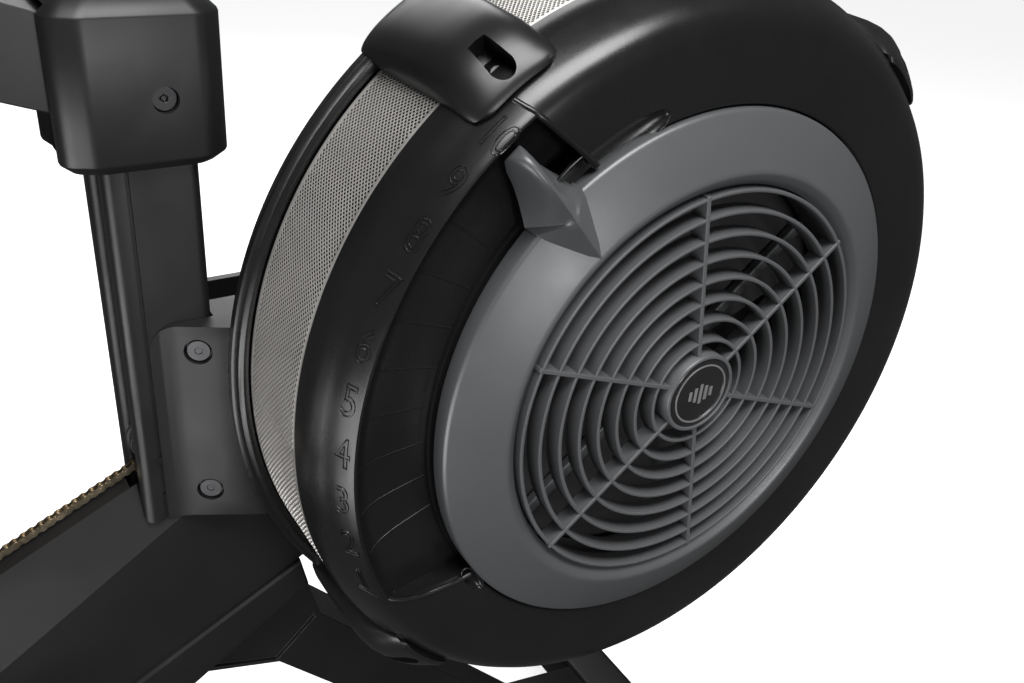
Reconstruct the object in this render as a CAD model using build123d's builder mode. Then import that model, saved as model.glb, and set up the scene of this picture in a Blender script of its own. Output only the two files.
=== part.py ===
from build123d import *
import os
from math import cos, radians, sin, tan

os.makedirs("parts", exist_ok=True)

# Driving dimensions, in millimetres. X points forward to the flywheel, Y to the rower's left, Z up.
overall_length = 2500
foot_bar_length = 610
axle_x = 973
axle_z = 600
case_radius = 265
flange_radius = 277
band_near_y = -138
band_far_y = -66
face_y = -180
ring_face_y = -196
dial_start = 123.5
dial_end = 211
pointer_angle = 130
guide_x = 648
guide_z = 522
chain_slope = 25.2
chain_pitch = 6.35
lower_roller_x = 657.7
lower_roller_z = 510.6
upper_roller_x = 655
upper_roller_z = 540.3
sprocket_pitch_radius = 25.4
post_rear_x = 643
post_front_x = 698
post_inner_y = 12
post_outer_y = 31
post_foot_z = 491
post_top_z = 741
arm_rise = 18.7
arm_length = 430
pivot_x = 680
pivot_z = 781
rail_front_x = 430
rail_rear_x = -1212
rail_top_z = 418
seat_x = 60
roller_radius = 17
tilt = 45
shell_rear_x = 440
shell_front_x = 790
handle_x = 503
handle_z = 464

case_axis = Axis((axle_x, 0, axle_z), (0, -1, 0))


def radial_plane(angle):
    # x runs outward from the axle at this angle, y runs along the axle
    turn = radians(angle)
    return Plane((axle_x, 0, axle_z), (cos(turn), 0, sin(turn)), (-sin(turn), 0, cos(turn)))


def across(x, y, z):
    # a plane whose normal points to the rower's right, x stays forward and y is up
    return Plane((x, y, z), (1, 0, 0), (0, -1, 0))


def save(part, name):
    part.label = name
    export_step(part, "parts/" + name + ".step")


def spine_z(x):
    return 418 + (x - 440) * tan(radians(chain_slope))


def ridge_z(x):
    return 340 + (x - 440) * 0.6644


def tube_top_z(x):
    return 265 + (x - 440) * 0.494


def shell_section(x, wall):
    # the roof-shaped outline of the neck cover at one station along the machine
    top = spine_z(x) - wall
    ridge = ridge_z(x) - wall * 0.6
    floor = tube_top_z(x) + wall * 0.6
    half_top = post_inner_y - wall * 0.6
    half_side = post_outer_y - wall
    with BuildSketch(Plane((x, 0, 0), (0, 1, 0), (1, 0, 0))) as outline:
        with BuildLine():
            Polyline(
                (-half_top, top),
                (half_top, top),
                (half_side, ridge),
                (half_side, floor),
                (-half_side, floor),
                (-half_side, ridge),
                close=True,
            )
        make_face()
    return outline.sketch


# The neck cover: a roof-shaped beam from the post down to the rail
outer_rear = shell_section(shell_rear_x, 0)
outer_front = shell_section(shell_front_x, 0)
inner_rear = shell_section(shell_rear_x + 5, 4)
inner_front = shell_section(shell_front_x - 5, 4)
with BuildPart() as neck_shell:
    loft([outer_rear, outer_front], ruled=True)
    loft([inner_rear, inner_front], ruled=True, mode=Mode.SUBTRACT)
    # room for the axle bracket, the post plates, the guide roller and the handle hook
    with Locations((728, 0, 592)):
        Box(142, 80, 200, mode=Mode.SUBTRACT)
    for side in (-1, 1):
        with Locations((670.5, side * 21.5, 591)):
            Box(55.2, 19.2, 200, mode=Mode.SUBTRACT)
        with Locations((507, side * 18, 440)):
            Box(28.2, 8.2, 60, mode=Mode.SUBTRACT)
    with Locations((655, 0, 526)):
        Box(34, 24, 60, mode=Mode.SUBTRACT)
    with Locations((465, 0, 290)):
        Cylinder(15.2, 90, rotation=(90, 0, 0), mode=Mode.SUBTRACT)
    with Locations((435, 0, 395)):
        Box(40, 60, 52, mode=Mode.SUBTRACT)
save(neck_shell.part, "neck_shell")

# The welded main tube under the neck cover
with BuildPart() as neck_main_tube:
    with BuildSketch(across(0, 0, 0)):
        with BuildLine():
            Polyline(
                (shell_rear_x - 12, tube_top_z(shell_rear_x - 12) - 44),
                (shell_rear_x - 12, tube_top_z(shell_rear_x - 12)),
                (749, tube_top_z(749)),
                (755, 391),
                (660, 330),
                close=True,
            )
        make_face()
    extrude(amount=36, both=True)
    with BuildSketch(across(0, 0, 0)):
        with BuildLine():
            Polyline(
                (shell_rear_x - 8, tube_top_z(shell_rear_x - 8) - 40),
                (shell_rear_x - 8, tube_top_z(shell_rear_x - 8) - 4),
                (740, tube_top_z(740) - 4),
                (742, 388),
                (660, 335),
                close=True,
            )
        make_face()
    extrude(amount=32, both=True, mode=Mode.SUBTRACT)
    fillet(neck_main_tube.edges().filter_by(GeomType.LINE).group_by(Axis.Y)[0], 3)
    fillet(neck_main_tube.edges().filter_by(GeomType.LINE).group_by(Axis.Y)[-1], 3)
    with Locations((465, 0, 290)):
        Cylinder(15.2, 90, rotation=(90, 0, 0), mode=Mode.SUBTRACT)
save(neck_main_tube.part, "neck_main_tube")


def upright(side):
    # one side of the post; the chain runs in the gap between the two
    with BuildPart() as plate:
        with BuildSketch(across(0, side * (post_inner_y + post_outer_y) / 2, 0)):
            with Locations(((post_rear_x + post_front_x) / 2, (post_foot_z + post_top_z) / 2)):
                Rectangle(post_front_x - post_rear_x, post_top_z - post_foot_z)
        extrude(amount=(post_outer_y - post_inner_y) / 2, both=True)
        fillet(plate.edges().filter_by(Axis.Z), 6)
        with Locations((656, side * post_outer_y, 620)):
            Box(2.4, 3, 300, mode=Mode.SUBTRACT)
        with Locations((lower_roller_x, 0, lower_roller_z), (upper_roller_x, 0, upper_roller_z)):
            Cylinder(3.05, 90, rotation=(90, 0, 0), mode=Mode.SUBTRACT)
    return plate.part


save(upright(-1), "upright_near")
save(upright(1), "upright_far")

# The pins that carry the two chain guide rollers
with BuildPart() as roller_pins:
    with Locations((lower_roller_x, 0, lower_roller_z), (upper_roller_x, 0, upper_roller_z)):
        Cylinder(3, 2 * post_outer_y, rotation=(90, 0, 0))
save(roller_pins.part, "roller_pins")


def guide_roller():
    # a small grooved roller, built at the origin about the Y axis
    with BuildPart() as wheel:
        with BuildSketch(Plane.XY) as half:
            with BuildLine():
                Polyline(
                    (3.1, -7),
                    (12, -7),
                    (12, -4),
                    (10.5, -3),
                    (10.5, 3),
                    (12, 4),
                    (12, 7),
                    (3.1, 7),
                    close=True,
                )
            make_face()
        revolve(axis=Axis.Y)
    return wheel.part


save(Pos(lower_roller_x, 0, lower_roller_z) * guide_roller(), "guide_roller_lower")
save(Pos(upper_roller_x, 0, upper_roller_z) * guide_roller(), "guide_roller_upper")

# The socket on the post head that holds the console arm
slot_low = radians(14)
slot_high = radians(arm_rise + 3)
with BuildPart() as arm_socket:
    with BuildSketch(Plane.XY.offset(post_top_z + 6)) as plan:
        with BuildLine():
            Polyline(
                (623, -33),
                (623, 33),
                (640, 40),
                (703, 38),
                (717, 28),
                (717, -28),
                (703, -38),
                (640, -40),
                close=True,
            )
        make_face()
    extrude(amount=79)
    extrude(arm_socket.faces().sort_by(Axis.Z)[-1], amount=9, taper=42)
    extrude(arm_socket.faces().sort_by(Axis.Z)[0], amount=6, taper=40)
    # the space the arm swings in
    with BuildSketch(across(0, 0, 0)):
        with Locations((pivot_x, pivot_z)):
            Circle(26.5)
        with BuildLine():
            Polyline(
                (pivot_x - 26.5 * sin(slot_low), pivot_z - 26.5 * cos(slot_low)),
                (600, pivot_z - 26.5 / cos(slot_low) - 80 * tan(slot_low)),
                (600, pivot_z + 26.5 / cos(slot_high) + 80 * tan(slot_high)),
                (pivot_x + 26.5 * sin(slot_high), pivot_z + 26.5 * cos(slot_high)),
                close=True,
            )
        make_face()
    extrude(amount=23, both=True, mode=Mode.SUBTRACT)
    with Locations((pivot_x, 0, pivot_z)):
        Cylinder(5, 100, rotation=(90, 0, 0), mode=Mode.SUBTRACT)
    with Locations((pivot_x, -37, pivot_z), (pivot_x, 37, pivot_z)):
        Cylinder(7.5, 14, rotation=(90, 0, 0), mode=Mode.SUBTRACT)
save(arm_socket.part, "arm_socket")

# The bolt the console arm swings on
with BuildPart() as socket_bolt:
    with Locations((pivot_x, 0, pivot_z)):
        Cylinder(4.9, 60, rotation=(90, 0, 0))
    with Locations((pivot_x, -32.5, pivot_z), (pivot_x, 32.5, pivot_z)):
        Cylinder(7.2, 5, rotation=(90, 0, 0))
    with Locations((pivot_x, -35, pivot_z)):
        Box(3.4, 3, 3.4, rotation=(0, 30, 0), mode=Mode.SUBTRACT)
save(socket_bolt.part, "socket_bolt")

# The near half of the axle bracket: a hollow wedge between the post and the case
with BuildPart() as axle_bracket:
    with BuildSketch(Plane.XY.offset(492)):
        with BuildLine():
            Polyline(
                (657, -31.2),
                (672, -35.4),
                (715, -57),
                (1010, -57),
                (1010, -9),
                (698.3, -9),
                (698.3, -31.2),
                close=True,
            )
        make_face()
    extrude(amount=148)
    fillet(axle_bracket.edges().filter_by(Axis.Y).group_by(Axis.X)[-1], 30)
    with BuildSketch(Plane.XY.offset(497)):
        with BuildLine():
            Polyline((717, -52), (1005, -52), (1005, -5), (703.3, -5), (703.3, -43), close=True)
        make_face()
    extrude(amount=138, mode=Mode.SUBTRACT)
    with Locations((axle_x, -50, axle_z)):
        Cylinder(26, 14, rotation=(90, 0, 0))
        Cylinder(18.1, 30, rotation=(90, 0, 0), mode=Mode.SUBTRACT)
    for height in (514, 622):
        with Locations((684, -39, height)):
            Cylinder(10, 10, rotation=(90, 0, 0), mode=Mode.SUBTRACT)
    # a window that lets the returning chain down into the neck
    with Locations((745, -9, 495)):
        Box(80, 12, 20, mode=Mode.SUBTRACT)
save(axle_bracket.part, "axle_bracket")

# The far half of the bracket, a flat plate with its own bearing seat
with BuildPart() as axle_bracket_far:
    with BuildSketch(across(0, 21, 0)):
        with BuildLine():
            Polyline((698.3, 492), (698.3, 640), (1003, 640), (1003, 560), (760, 492), close=True)
        make_face()
    extrude(amount=3, both=True)
    fillet(axle_bracket_far.edges().filter_by(Axis.Y).group_by(Axis.X)[-1], 20)
    with Locations((axle_x, 19, axle_z)):
        Cylinder(24, 10, rotation=(90, 0, 0))
        Cylinder(18.1, 30, rotation=(90, 0, 0), mode=Mode.SUBTRACT)
save(axle_bracket_far.part, "axle_bracket_far")

# Ball bearings, one in each half of the bracket
with BuildPart() as axle_bearings:
    with Locations((axle_x, -50, axle_z), (axle_x, 19, axle_z)):
        Cylinder(18, 10, rotation=(90, 0, 0))
        Cylinder(8.05, 12, rotation=(90, 0, 0), mode=Mode.SUBTRACT)
save(axle_bearings.part, "axle_bearings")

# The steel axle of the flywheel
with BuildPart() as axle:
    with Locations((axle_x, -54, axle_z)):
        Cylinder(8, 166, rotation=(90, 0, 0))
save(axle.part, "axle")

# The heavy disc of the flywheel
with BuildPart() as flywheel_disc:
    with BuildSketch(radial_plane(0)):
        with BuildLine():
            Polyline(
                (8.2, -128),
                (24, -128),
                (24, -98),
                (190, -98),
                (190, -84),
                (24, -84),
                (24, -76),
                (8.2, -76),
                close=True,
            )
        make_face()
    revolve(axis=case_axis)
save(flywheel_disc.part, "flywheel_disc")

# The ring of fan blades round the disc
with BuildPart() as fan_blades:
    with BuildSketch(radial_plane(0)):
        with Locations((196, -91)):
            Rectangle(11.6, 14)
    revolve(axis=case_axis)
    for blade in range(24):
        with BuildSketch(radial_plane(blade * 15)):
            with Locations((218, -102)):
                Rectangle(34, 60)
        extrude(amount=1.5, both=True)
save(fan_blades.part, "fan_blades")

# The chain sprocket on its freewheel
with BuildPart() as sprocket:
    with BuildSketch(across(axle_x, 0, axle_z)):
        Circle(sprocket_pitch_radius - 2.2)
        Circle(8.1, mode=Mode.SUBTRACT)
    extrude(amount=1.2, both=True)
    with BuildSketch(across(axle_x, 0, axle_z)):
        with PolarLocations(sprocket_pitch_radius - 1.4, 25):
            Circle(1.1)
    extrude(amount=1.2, both=True)
    with BuildSketch(across(axle_x, 4, axle_z)):
        Circle(15)
        Circle(8.1, mode=Mode.SUBTRACT)
    extrude(amount=7, both=True)
save(sprocket.part, "sprocket")

# The cover on the damper side, with the sunken dial sector
with BuildPart() as damper_side_cover:
    with BuildSketch(radial_plane(dial_end)):
        with BuildLine():
            Polyline(
                (150, -166),
                (150, -163),
                (195.5, -163),
                (195.5, -177),
                (236, -178),
                (244.5, -174.5),
                (256, -161),
                (262, -148),
                (262, band_near_y),
                (265, band_near_y),
                (265, -149),
                (258.5, -163),
                (246, -178),
                (237, -181),
                (192.5, -180),
                (192.5, -166),
                close=True,
            )
        make_face()
    revolve(axis=case_axis, revolution_arc=360 - dial_end + dial_start)
    with BuildSketch(radial_plane(dial_start)):
        with BuildLine():
            Polyline(
                (150, -166),
                (150, -163),
                (189.5, -163),
                (189.5, -159.6),
                (205, -160.4),
                (220, -161.8),
                (233, -164.6),
                (242.2, -169.8),
                (245.9, -175.4),
                (255.7, -160.8),
                (259, -154),
                (262, -146),
                (262, band_near_y),
                (265, band_near_y),
                (265, -149),
                (258.5, -163),
                (247.5, -179.6),
                (245.8, -180.2),
                (244.4, -178.8),
                (240, -172),
                (232, -167.5),
                (220, -165),
                (205, -163.5),
                (192.5, -162.5),
                (192.5, -166),
                close=True,
            )
        make_face()
    revolve(axis=case_axis, revolution_arc=dial_end - dial_start)
    for edge_angle in (dial_start - 0.7, dial_end):
        with BuildSketch(radial_plane(edge_angle)):
            with BuildLine():
                Polyline(
                    (193, -162),
                    (193, -179.5),
                    (237, -180.5),
                    (244.8, -179.4),
                    (245.2, -177),
                    (241, -171),
                    (233, -166),
                    (220, -163.4),
                    (205, -162),
                    close=True,
                )
            make_face()
        revolve(axis=case_axis, revolution_arc=0.7)
save(damper_side_cover.part, "damper_side_cover")

# The fixed plate with six air inlets behind the grille
with BuildPart() as inlet_plate:
    with BuildSketch(across(axle_x, -152, axle_z)):
        Circle(186)
        with PolarLocations(0, 6, 9):
            with BuildLine():
                Line((40, -14), (140, -52))
                RadiusArc((140, -52), (140, 52), -149.4)
                Line((140, 52), (40, 14))
                Line((40, 14), (40, -14))
            make_face(mode=Mode.SUBTRACT)
    extrude(amount=1.5, both=True)
    with BuildSketch(radial_plane(0)):
        with BuildLine():
            Polyline((180, -163), (186, -163), (186, -151), (180, -151), close=True)
        make_face()
    revolve(axis=case_axis)
save(inlet_plate.part, "inlet_plate")

# The cover on the chain side, with its wide rim
with BuildPart() as chain_side_cover:
    with BuildSketch(radial_plane(0)):
        with BuildLine():
            Polyline(
                (12, -57.2),
                (276, -57.2),
                (277, -58),
                (277, -66),
                (272, -69),
                (269, -69),
                (269, -66),
                (262, -66),
                (262, -61),
                (12, -61),
                close=True,
            )
        make_face()
    revolve(axis=case_axis)
save(chain_side_cover.part, "chain_side_cover")

# The perforated sheet between the covers
with BuildPart() as perforated_band:
    with BuildSketch(radial_plane(0)):
        with Locations((264.4, (band_near_y + band_far_y) / 2)):
            Rectangle(1.2, band_far_y - band_near_y)
    revolve(axis=case_axis)
save(perforated_band.part, "perforated_band")

# Four lugs that clamp the covers over the band
with BuildPart() as cover_clamps:
    for middle in (124.5, 223, 315, 48):
        with BuildSketch(radial_plane(middle - 7)):
            with BuildLine():
                Polyline(
                    (265.2, -56),
                    (265.2, -137),
                    (265.6, -150),
                    (259, -164),
                    (262, -170),
                    (275, -160),
                    (282, -140),
                    (284, -100),
                    (284, -64),
                    (280, -56),
                    close=True,
                )
            make_face()
        revolve(axis=case_axis, revolution_arc=14)
    with BuildSketch(radial_plane(0)):
        with BuildLine():
            Polyline(
                (255, -57),
                (277.3, -57),
                (277.3, -66.5),
                (272.3, -69.3),
                (260, -69.3),
                (255, -69),
                close=True,
            )
        make_face()
    revolve(axis=case_axis, mode=Mode.SUBTRACT)
    for middle in (124.5, 223, 315, 48):
        with Locations(radial_plane(middle) * Location((277, -140, 0), (0, 90, 0))):
            Cylinder(5, 22, mode=Mode.SUBTRACT)
save(cover_clamps.part, "cover_clamps")

# The screws in the lugs and in the axle bracket
with BuildPart() as case_screws:
    for middle in (124.5, 223, 315, 48):
        with Locations(radial_plane(middle) * Location((271.5, -140, 0), (0, 90, 0))):
            Cylinder(4.6, 10)
    for height in (514, 622):
        with Locations((684, -36, height)):
            Cylinder(7, 3.6, rotation=(90, 0, 0))
save(case_screws.part, "case_screws")

# The turning damper ring with its pointer
with BuildPart() as damper_ring:
    with BuildSketch(radial_plane(0)):
        with BuildLine():
            Polyline(
                (145, -159),
                (145, -184),
                (152, -194),
                (154, -196),
                (158, -195.5),
                (190, -183),
                (191, -182),
                (191, -170),
                (188, -168),
                (149.6, -168),
                (149.6, -162.4),
                (153, -162.4),
                (153, -159),
                close=True,
            )
        make_face()
    revolve(axis=case_axis)
    with BuildSketch(radial_plane(pointer_angle).offset(0)) as blade_side:
        with BuildLine():
            Polyline(
                (158, -180),
                (158, -195.4),
                (196, -202),
                (234, -191),
                (239.5, -184),
                (239.5, -176),
                (228, -169),
                (186, -168),
                close=True,
            )
        make_face()
    extrude(amount=3.5, both=True)
    for side in (-1, 1):
        with BuildSketch(radial_plane(pointer_angle)) as root:
            with BuildLine():
                Polyline(
                    (166, -190),
                    (196, -196),
                    (224, -180),
                    (224, -169),
                    (186, -169),
                    (166, -176),
                    close=True,
                )
            make_face()
        with BuildSketch(radial_plane(pointer_angle).offset(side * 16)) as skirt:
            with BuildLine():
                Polyline(
                    (182, -184.6),
                    (184, -184),
                    (192, -178),
                    (192, -171),
                    (186, -170),
                    (182, -176),
                    close=True,
                )
            make_face()
        loft([root.sketch, skirt.sketch], ruled=True)
save(damper_ring.part, "damper_ring")

# The grille inside the damper ring
with BuildPart() as damper_grille:
    for ring in range(8):
        with BuildSketch(radial_plane(0)):
            with Locations((38.7 + 15.07 * ring - (2.2 if ring == 7 else 0), -187)):
                Rectangle(2.3, 14)
        revolve(axis=case_axis)
    for rib in range(6):
        with BuildSketch(radial_plane(39.2 + 60 * rib)):
            with Locations((85.5, -187)):
                Rectangle(118.8, 13)
        extrude(amount=1.25, both=True)
    with BuildSketch(radial_plane(0)):
        with BuildLine():
            Polyline(
                (0, -180),
                (0, -195),
                (26.2, -195),
                (26.2, -197.5),
                (29, -197.5),
                (29, -180),
                close=True,
            )
        make_face()
    revolve(axis=case_axis)
save(damper_grille.part, "damper_grille")

# The plain badge in the middle of the grille
with BuildPart() as hub_badge:
    with Locations((axle_x, -196.5, axle_z)):
        Cylinder(26, 3, rotation=(90, 0, 0))
save(hub_badge.part, "hub_badge")


def band_solid(points, width):
    # a flat strip through the points, as wide as the chain
    with BuildPart() as strip:
        with BuildSketch(across(0, 0, 0)):
            with BuildLine() as course:
                Polyline(*points)
            trace(line_width=width)
        extrude(amount=2.4, both=True)
    return strip.part


# The chain inside the case: down to the guide rollers, round the sprocket, and back into the neck
with BuildPart() as drive_chain:
    with BuildSketch(across(0, 0, 0)):
        with Locations((axle_x, axle_z)):
            Circle(30.8)
            Circle(25.3, mode=Mode.SUBTRACT)
        with Locations((axle_x - 40, axle_z)):
            Rectangle(80, 80, mode=Mode.SUBTRACT)
    extrude(amount=2.4, both=True)
    with BuildSketch(across(0, 0, 0)):
        with BuildLine():
            Polyline(
                (axle_x + 0.5, axle_z + 26.8),
                (axle_x + 0.5, axle_z + 31.6),
                (guide_x + 4, guide_z + 4.2),
                (guide_x + 6, guide_z - 1.2),
                close=True,
            )
        make_face()
    extrude(amount=2.4, both=True)
    with BuildSketch(across(0, 0, 0)):
        with BuildLine():
            Polyline(
                (axle_x + 0.5, axle_z - 27.6),
                (axle_x + 0.5, axle_z - 32.6),
                (742, 478.6),
                (740, 484),
                close=True,
            )
        make_face()
    extrude(amount=2.4, both=True)
save(drive_chain.part, "drive_chain")

# The elastic cord that winds the chain back, with its pulley inside the neck
with BuildPart() as shock_cord:
    with BuildLine():
        FilletPolyline((738, 0, 480), (520, 0, 350), (540, 0, 330), (715, 0, 420), radius=8)
    with BuildSketch(Plane((738, 0, 480), (0, 1, 0), (-218, 0, -130))):
        Circle(4)
    sweep()
save(shock_cord.part, "shock_cord")

# The hook that holds the handle while the machine is parked
with BuildPart() as handle_hook:
    for side in (-1, 1):
        with BuildSketch(across(0, side * 18, 0)):
            with BuildLine():
                Polyline(
                    (494, 411),
                    (494, 452),
                    (498, 454.3),
                    (509, 454.3),
                    (513, 458),
                    (513, 480),
                    (517, 484),
                    (521, 482),
                    (521, 411),
                    close=True,
                )
            make_face()
        extrude(amount=4, both=True)
save(handle_hook.part, "handle_hook")

# The front leg, with the gusset that ties it to the main tube
with BuildPart() as front_leg:
    with BuildSketch(across(0, 0, 0)):
        with BuildLine():
            Polyline(
                (755.5, 391),
                (769, 342),
                (1004, 84),
                (1094.8, 62),
                (1094.8, 14),
                (985, 26),
                (732, 305),
                (661, 329),
                close=True,
            )
        make_face()
    extrude(amount=23, both=True)
    with BuildSketch(across(0, 0, 0)):
        with BuildLine():
            Polyline((766, 339), (1002, 80), (1090, 58), (1090, 18), (987, 30), (735, 308), close=True)
        make_face()
    extrude(amount=20, both=True, mode=Mode.SUBTRACT)
    for side in (-1, 1):
        with BuildSketch(across(0, side * 20, 0)):
            with BuildLine():
                Polyline((750, 388), (764, 341), (730, 309), (668, 331), close=True)
            make_face()
        extrude(amount=side * -8, mode=Mode.SUBTRACT)
save(front_leg.part, "front_leg")

# The cross bar of the front foot, with a seat for each transport wheel
foot_bar_half = foot_bar_length / 2 - 6
wheel_x = 1177
wheel_z = 30
with BuildPart() as front_foot_bar:
    with BuildSketch(Plane.XZ.offset(-foot_bar_half)):
        with Locations((1122, 34)):
            RectangleRounded(54, 52, 8)
            RectangleRounded(48, 46, 5, mode=Mode.SUBTRACT)
    extrude(amount=2 * foot_bar_half)
    for side in (-1, 1):
        for offset in (252, 283):
            with BuildSketch(across(0, side * offset, 0)):
                with BuildLine():
                    Polyline((1149, 14), (1149, 52), (wheel_x + 8, 38), (wheel_x + 8, 22), close=True)
                make_face()
            extrude(amount=2, both=True)
            with Locations((wheel_x, side * offset, wheel_z)):
                Cylinder(4.05, 30, rotation=(90, 0, 0), mode=Mode.SUBTRACT)
save(front_foot_bar.part, "front_foot_bar")


def transport_wheel(side):
    # a small wheel on its own stub axle
    with BuildPart() as wheel:
        with Locations((wheel_x, side * 267.5, wheel_z)):
            Cylinder(26, 22, rotation=(90, 0, 0))
        chamfer(wheel.edges(), 3)
        with Locations((wheel_x, side * 267.5, wheel_z)):
            Cylinder(4, 38, rotation=(90, 0, 0))
    return wheel.part


save(transport_wheel(-1), "transport_wheel_near")
save(transport_wheel(1), "transport_wheel_far")

# The monorail: a top flange on a hollow web
rail_length = rail_front_x - rail_rear_x
rail_middle = (rail_front_x + rail_rear_x) / 2
with BuildPart() as monorail:
    with BuildSketch(Plane((rail_rear_x, 0, 0), (0, 1, 0), (1, 0, 0))):
        with BuildLine():
            Polyline(
                (-27, 410),
                (-27, rail_top_z),
                (27, rail_top_z),
                (27, 410),
                (13, 410),
                (13, 384),
                (20, 380),
                (20, 372),
                (-20, 372),
                (-20, 380),
                (-13, 384),
                (-13, 410),
                close=True,
            )
        make_face()
        with Locations((0, 394)):
            Rectangle(20, 34, mode=Mode.SUBTRACT)
    extrude(amount=rail_length)
save(monorail.part, "monorail")

# The steel tracks the seat rollers run on
with BuildPart() as rail_tracks:
    for side in (-1, 1):
        with Locations((rail_middle - 10, side * 19, rail_top_z + 0.75)):
            Box(rail_length - 60, 12, 1.5)
save(rail_tracks.part, "rail_tracks")
track_z = rail_top_z + 1.5

# End blocks that stop the seat, and the cap on the back end of the rail
with BuildPart() as rail_stops:
    for end_x in (rail_front_x - 12, rail_rear_x + 12):
        with Locations((end_x, 0, rail_top_z + 9)):
            Box(14, 34, 18)
    with Locations((rail_rear_x - 3, 0, 395)):
        Box(6, 56, 50)
    chamfer(rail_stops.faces().sort_by(Axis.X)[0].edges(), 2)
save(rail_stops.part, "rail_stops")

# The rear leg under the back end of the rail
with BuildPart() as rear_leg:
    with BuildSketch(across(0, 0, 0)):
        with BuildLine():
            Polyline((-1175, 372), (-1120, 372), (-1188, 42), (-1228, 42), close=True)
        make_face()
    extrude(amount=22, both=True)
    with BuildSketch(across(0, 0, 0)):
        with BuildLine():
            Polyline((-1171, 368), (-1125, 368), (-1192, 46), (-1224, 46), close=True)
        make_face()
    extrude(amount=18, both=True, mode=Mode.SUBTRACT)
save(rear_leg.part, "rear_leg")

# The cross bar of the rear foot
with BuildPart() as rear_foot_bar:
    with BuildSketch(Plane.XZ.offset(-190)):
        with Locations((-1210, 25)):
            RectangleRounded(60, 34, 8)
            RectangleRounded(54, 28, 5, mode=Mode.SUBTRACT)
    extrude(amount=380)
save(rear_foot_bar.part, "rear_foot_bar")

# Rubber feet and the rubber end caps of both cross bars
with BuildPart() as rubber_feet:
    for side in (-1, 1):
        with Locations((1122, side * 200, 4)):
            Box(50, 60, 8)
        with Locations((1122, side * (foot_bar_half + 3), 30)):
            Box(54, 6, 60)
        with Locations((-1210, side * 160, 4)):
            Box(56, 50, 8)
        with Locations((-1212, side * 193, 21)):
            Box(76, 6, 42)
save(rubber_feet.part, "rubber_feet")

# Footboards: straight plates on the tilt of the feet, slotted for the heel cups
toe_x = 540
toe_z = 395
board_long = 300
board_mid_x = toe_x - board_long / 2 * cos(radians(tilt))
board_mid_z = toe_z - board_long / 2 * sin(radians(tilt))


def board_plane(side, rise):
    # x runs from heel to toe along the board, y to the rower's left, z towards the rower
    lean = radians(tilt)
    middle = (board_mid_x - rise * sin(lean), side * 112, board_mid_z + rise * cos(lean))
    return Plane(middle, (cos(lean), 0, sin(lean)), (-sin(lean), 0, cos(lean)))


def footboard(side):
    with BuildPart() as board:
        with BuildSketch(board_plane(side, 0)):
            RectangleRounded(board_long, 104, 14)
            with Locations((-70, -20), (-70, 20)):
                SlotOverall(112, 9, mode=Mode.SUBTRACT)
        extrude(amount=-6)
        with BuildSketch(board_plane(side, 0)):
            with Locations((0, -51), (0, 51)):
                Rectangle(240, 2)
        extrude(amount=-14)
        with Locations((465, side * 112, 290), (379, side * 112, 204)):
            Cylinder(15.2, 120, rotation=(90, 0, 0), mode=Mode.SUBTRACT)
    return board.part


save(footboard(-1), "footboard_near")
save(footboard(1), "footboard_far")


def heel_cup(side):
    # a sliding sole plate with a curved wall behind the heel and two studs through the board
    with BuildPart() as cup:
        with BuildSketch(board_plane(side, 0.3)):
            with Locations((-72, 0)):
                RectangleRounded(150, 90, 20)
        extrude(amount=3)
        with BuildSketch(board_plane(side, 3.3)):
            with Locations((-72, 0)):
                RectangleRounded(150, 90, 20)
                RectangleRounded(144, 84, 17, mode=Mode.SUBTRACT)
            with Locations((20, 0)):
                Rectangle(150, 120, mode=Mode.SUBTRACT)
        extrude(amount=34)
        with BuildSketch(board_plane(side, 0.3)):
            with Locations((-70, -20), (-70, 20)):
                Circle(4.2)
        extrude(amount=-6.9)
        with BuildSketch(board_plane(side, -6.6)):
            with Locations((-70, -20), (-70, 20)):
                Circle(7)
        extrude(amount=-4)
    return cup.part


save(heel_cup(-1), "heel_cup_near")
save(heel_cup(1), "heel_cup_far")

# The frame that carries both footboards
with BuildPart() as foot_frame:
    with Locations((465, 0, 290)):
        Cylinder(15, 330, rotation=(90, 0, 0))
        Cylinder(12, 330, rotation=(90, 0, 0), mode=Mode.SUBTRACT)
    with Locations((379, 0, 204)):
        Cylinder(15, 330, rotation=(90, 0, 0))
        Cylinder(12, 330, rotation=(90, 0, 0), mode=Mode.SUBTRACT)
    with BuildSketch(across(0, 0, 0)):
        with BuildLine():
            Polyline((352, 372), (392, 372), (392, 214), (366, 212), close=True)
        make_face()
    extrude(amount=4, both=True)
save(foot_frame.part, "foot_frame")

# A strap over each footboard
with BuildPart() as foot_straps:
    for side in (-1, 1):
        lean = radians(tilt)
        spot_x = board_mid_x + 58 * cos(lean)
        spot_z = board_mid_z + 58 * sin(lean)
        with BuildSketch(Plane((spot_x, side * 112, spot_z), (0, 1, 0), (cos(lean), 0, sin(lean)))):
            with BuildLine():
                ThreePointArc((-52.2, -12), (0, 66), (52.2, -12))
                Line((52.2, -12), (54.8, -12))
                ThreePointArc((54.8, -12), (0, 68.6), (-54.8, -12))
                Line((-54.8, -12), (-52.2, -12))
            make_face()
        extrude(amount=15, both=True)
save(foot_straps.part, "foot_straps")

# The seat: a padded top on a shell, with a carriage that hangs round the rail flange
with BuildPart() as seat_pad:
    with BuildSketch(Plane.XY.offset(474)):
        with Locations((seat_x, 0)):
            RectangleRounded(250, 300, 60)
    extrude(amount=26)
    fillet(seat_pad.faces().sort_by(Axis.Z)[-1].edges(), 10)
save(seat_pad.part, "seat_pad")

with BuildPart() as seat_shell:
    with BuildSketch(Plane.XY.offset(466)):
        with Locations((seat_x, 0)):
            RectangleRounded(240, 290, 56)
    extrude(amount=8)
save(seat_shell.part, "seat_shell")

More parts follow.
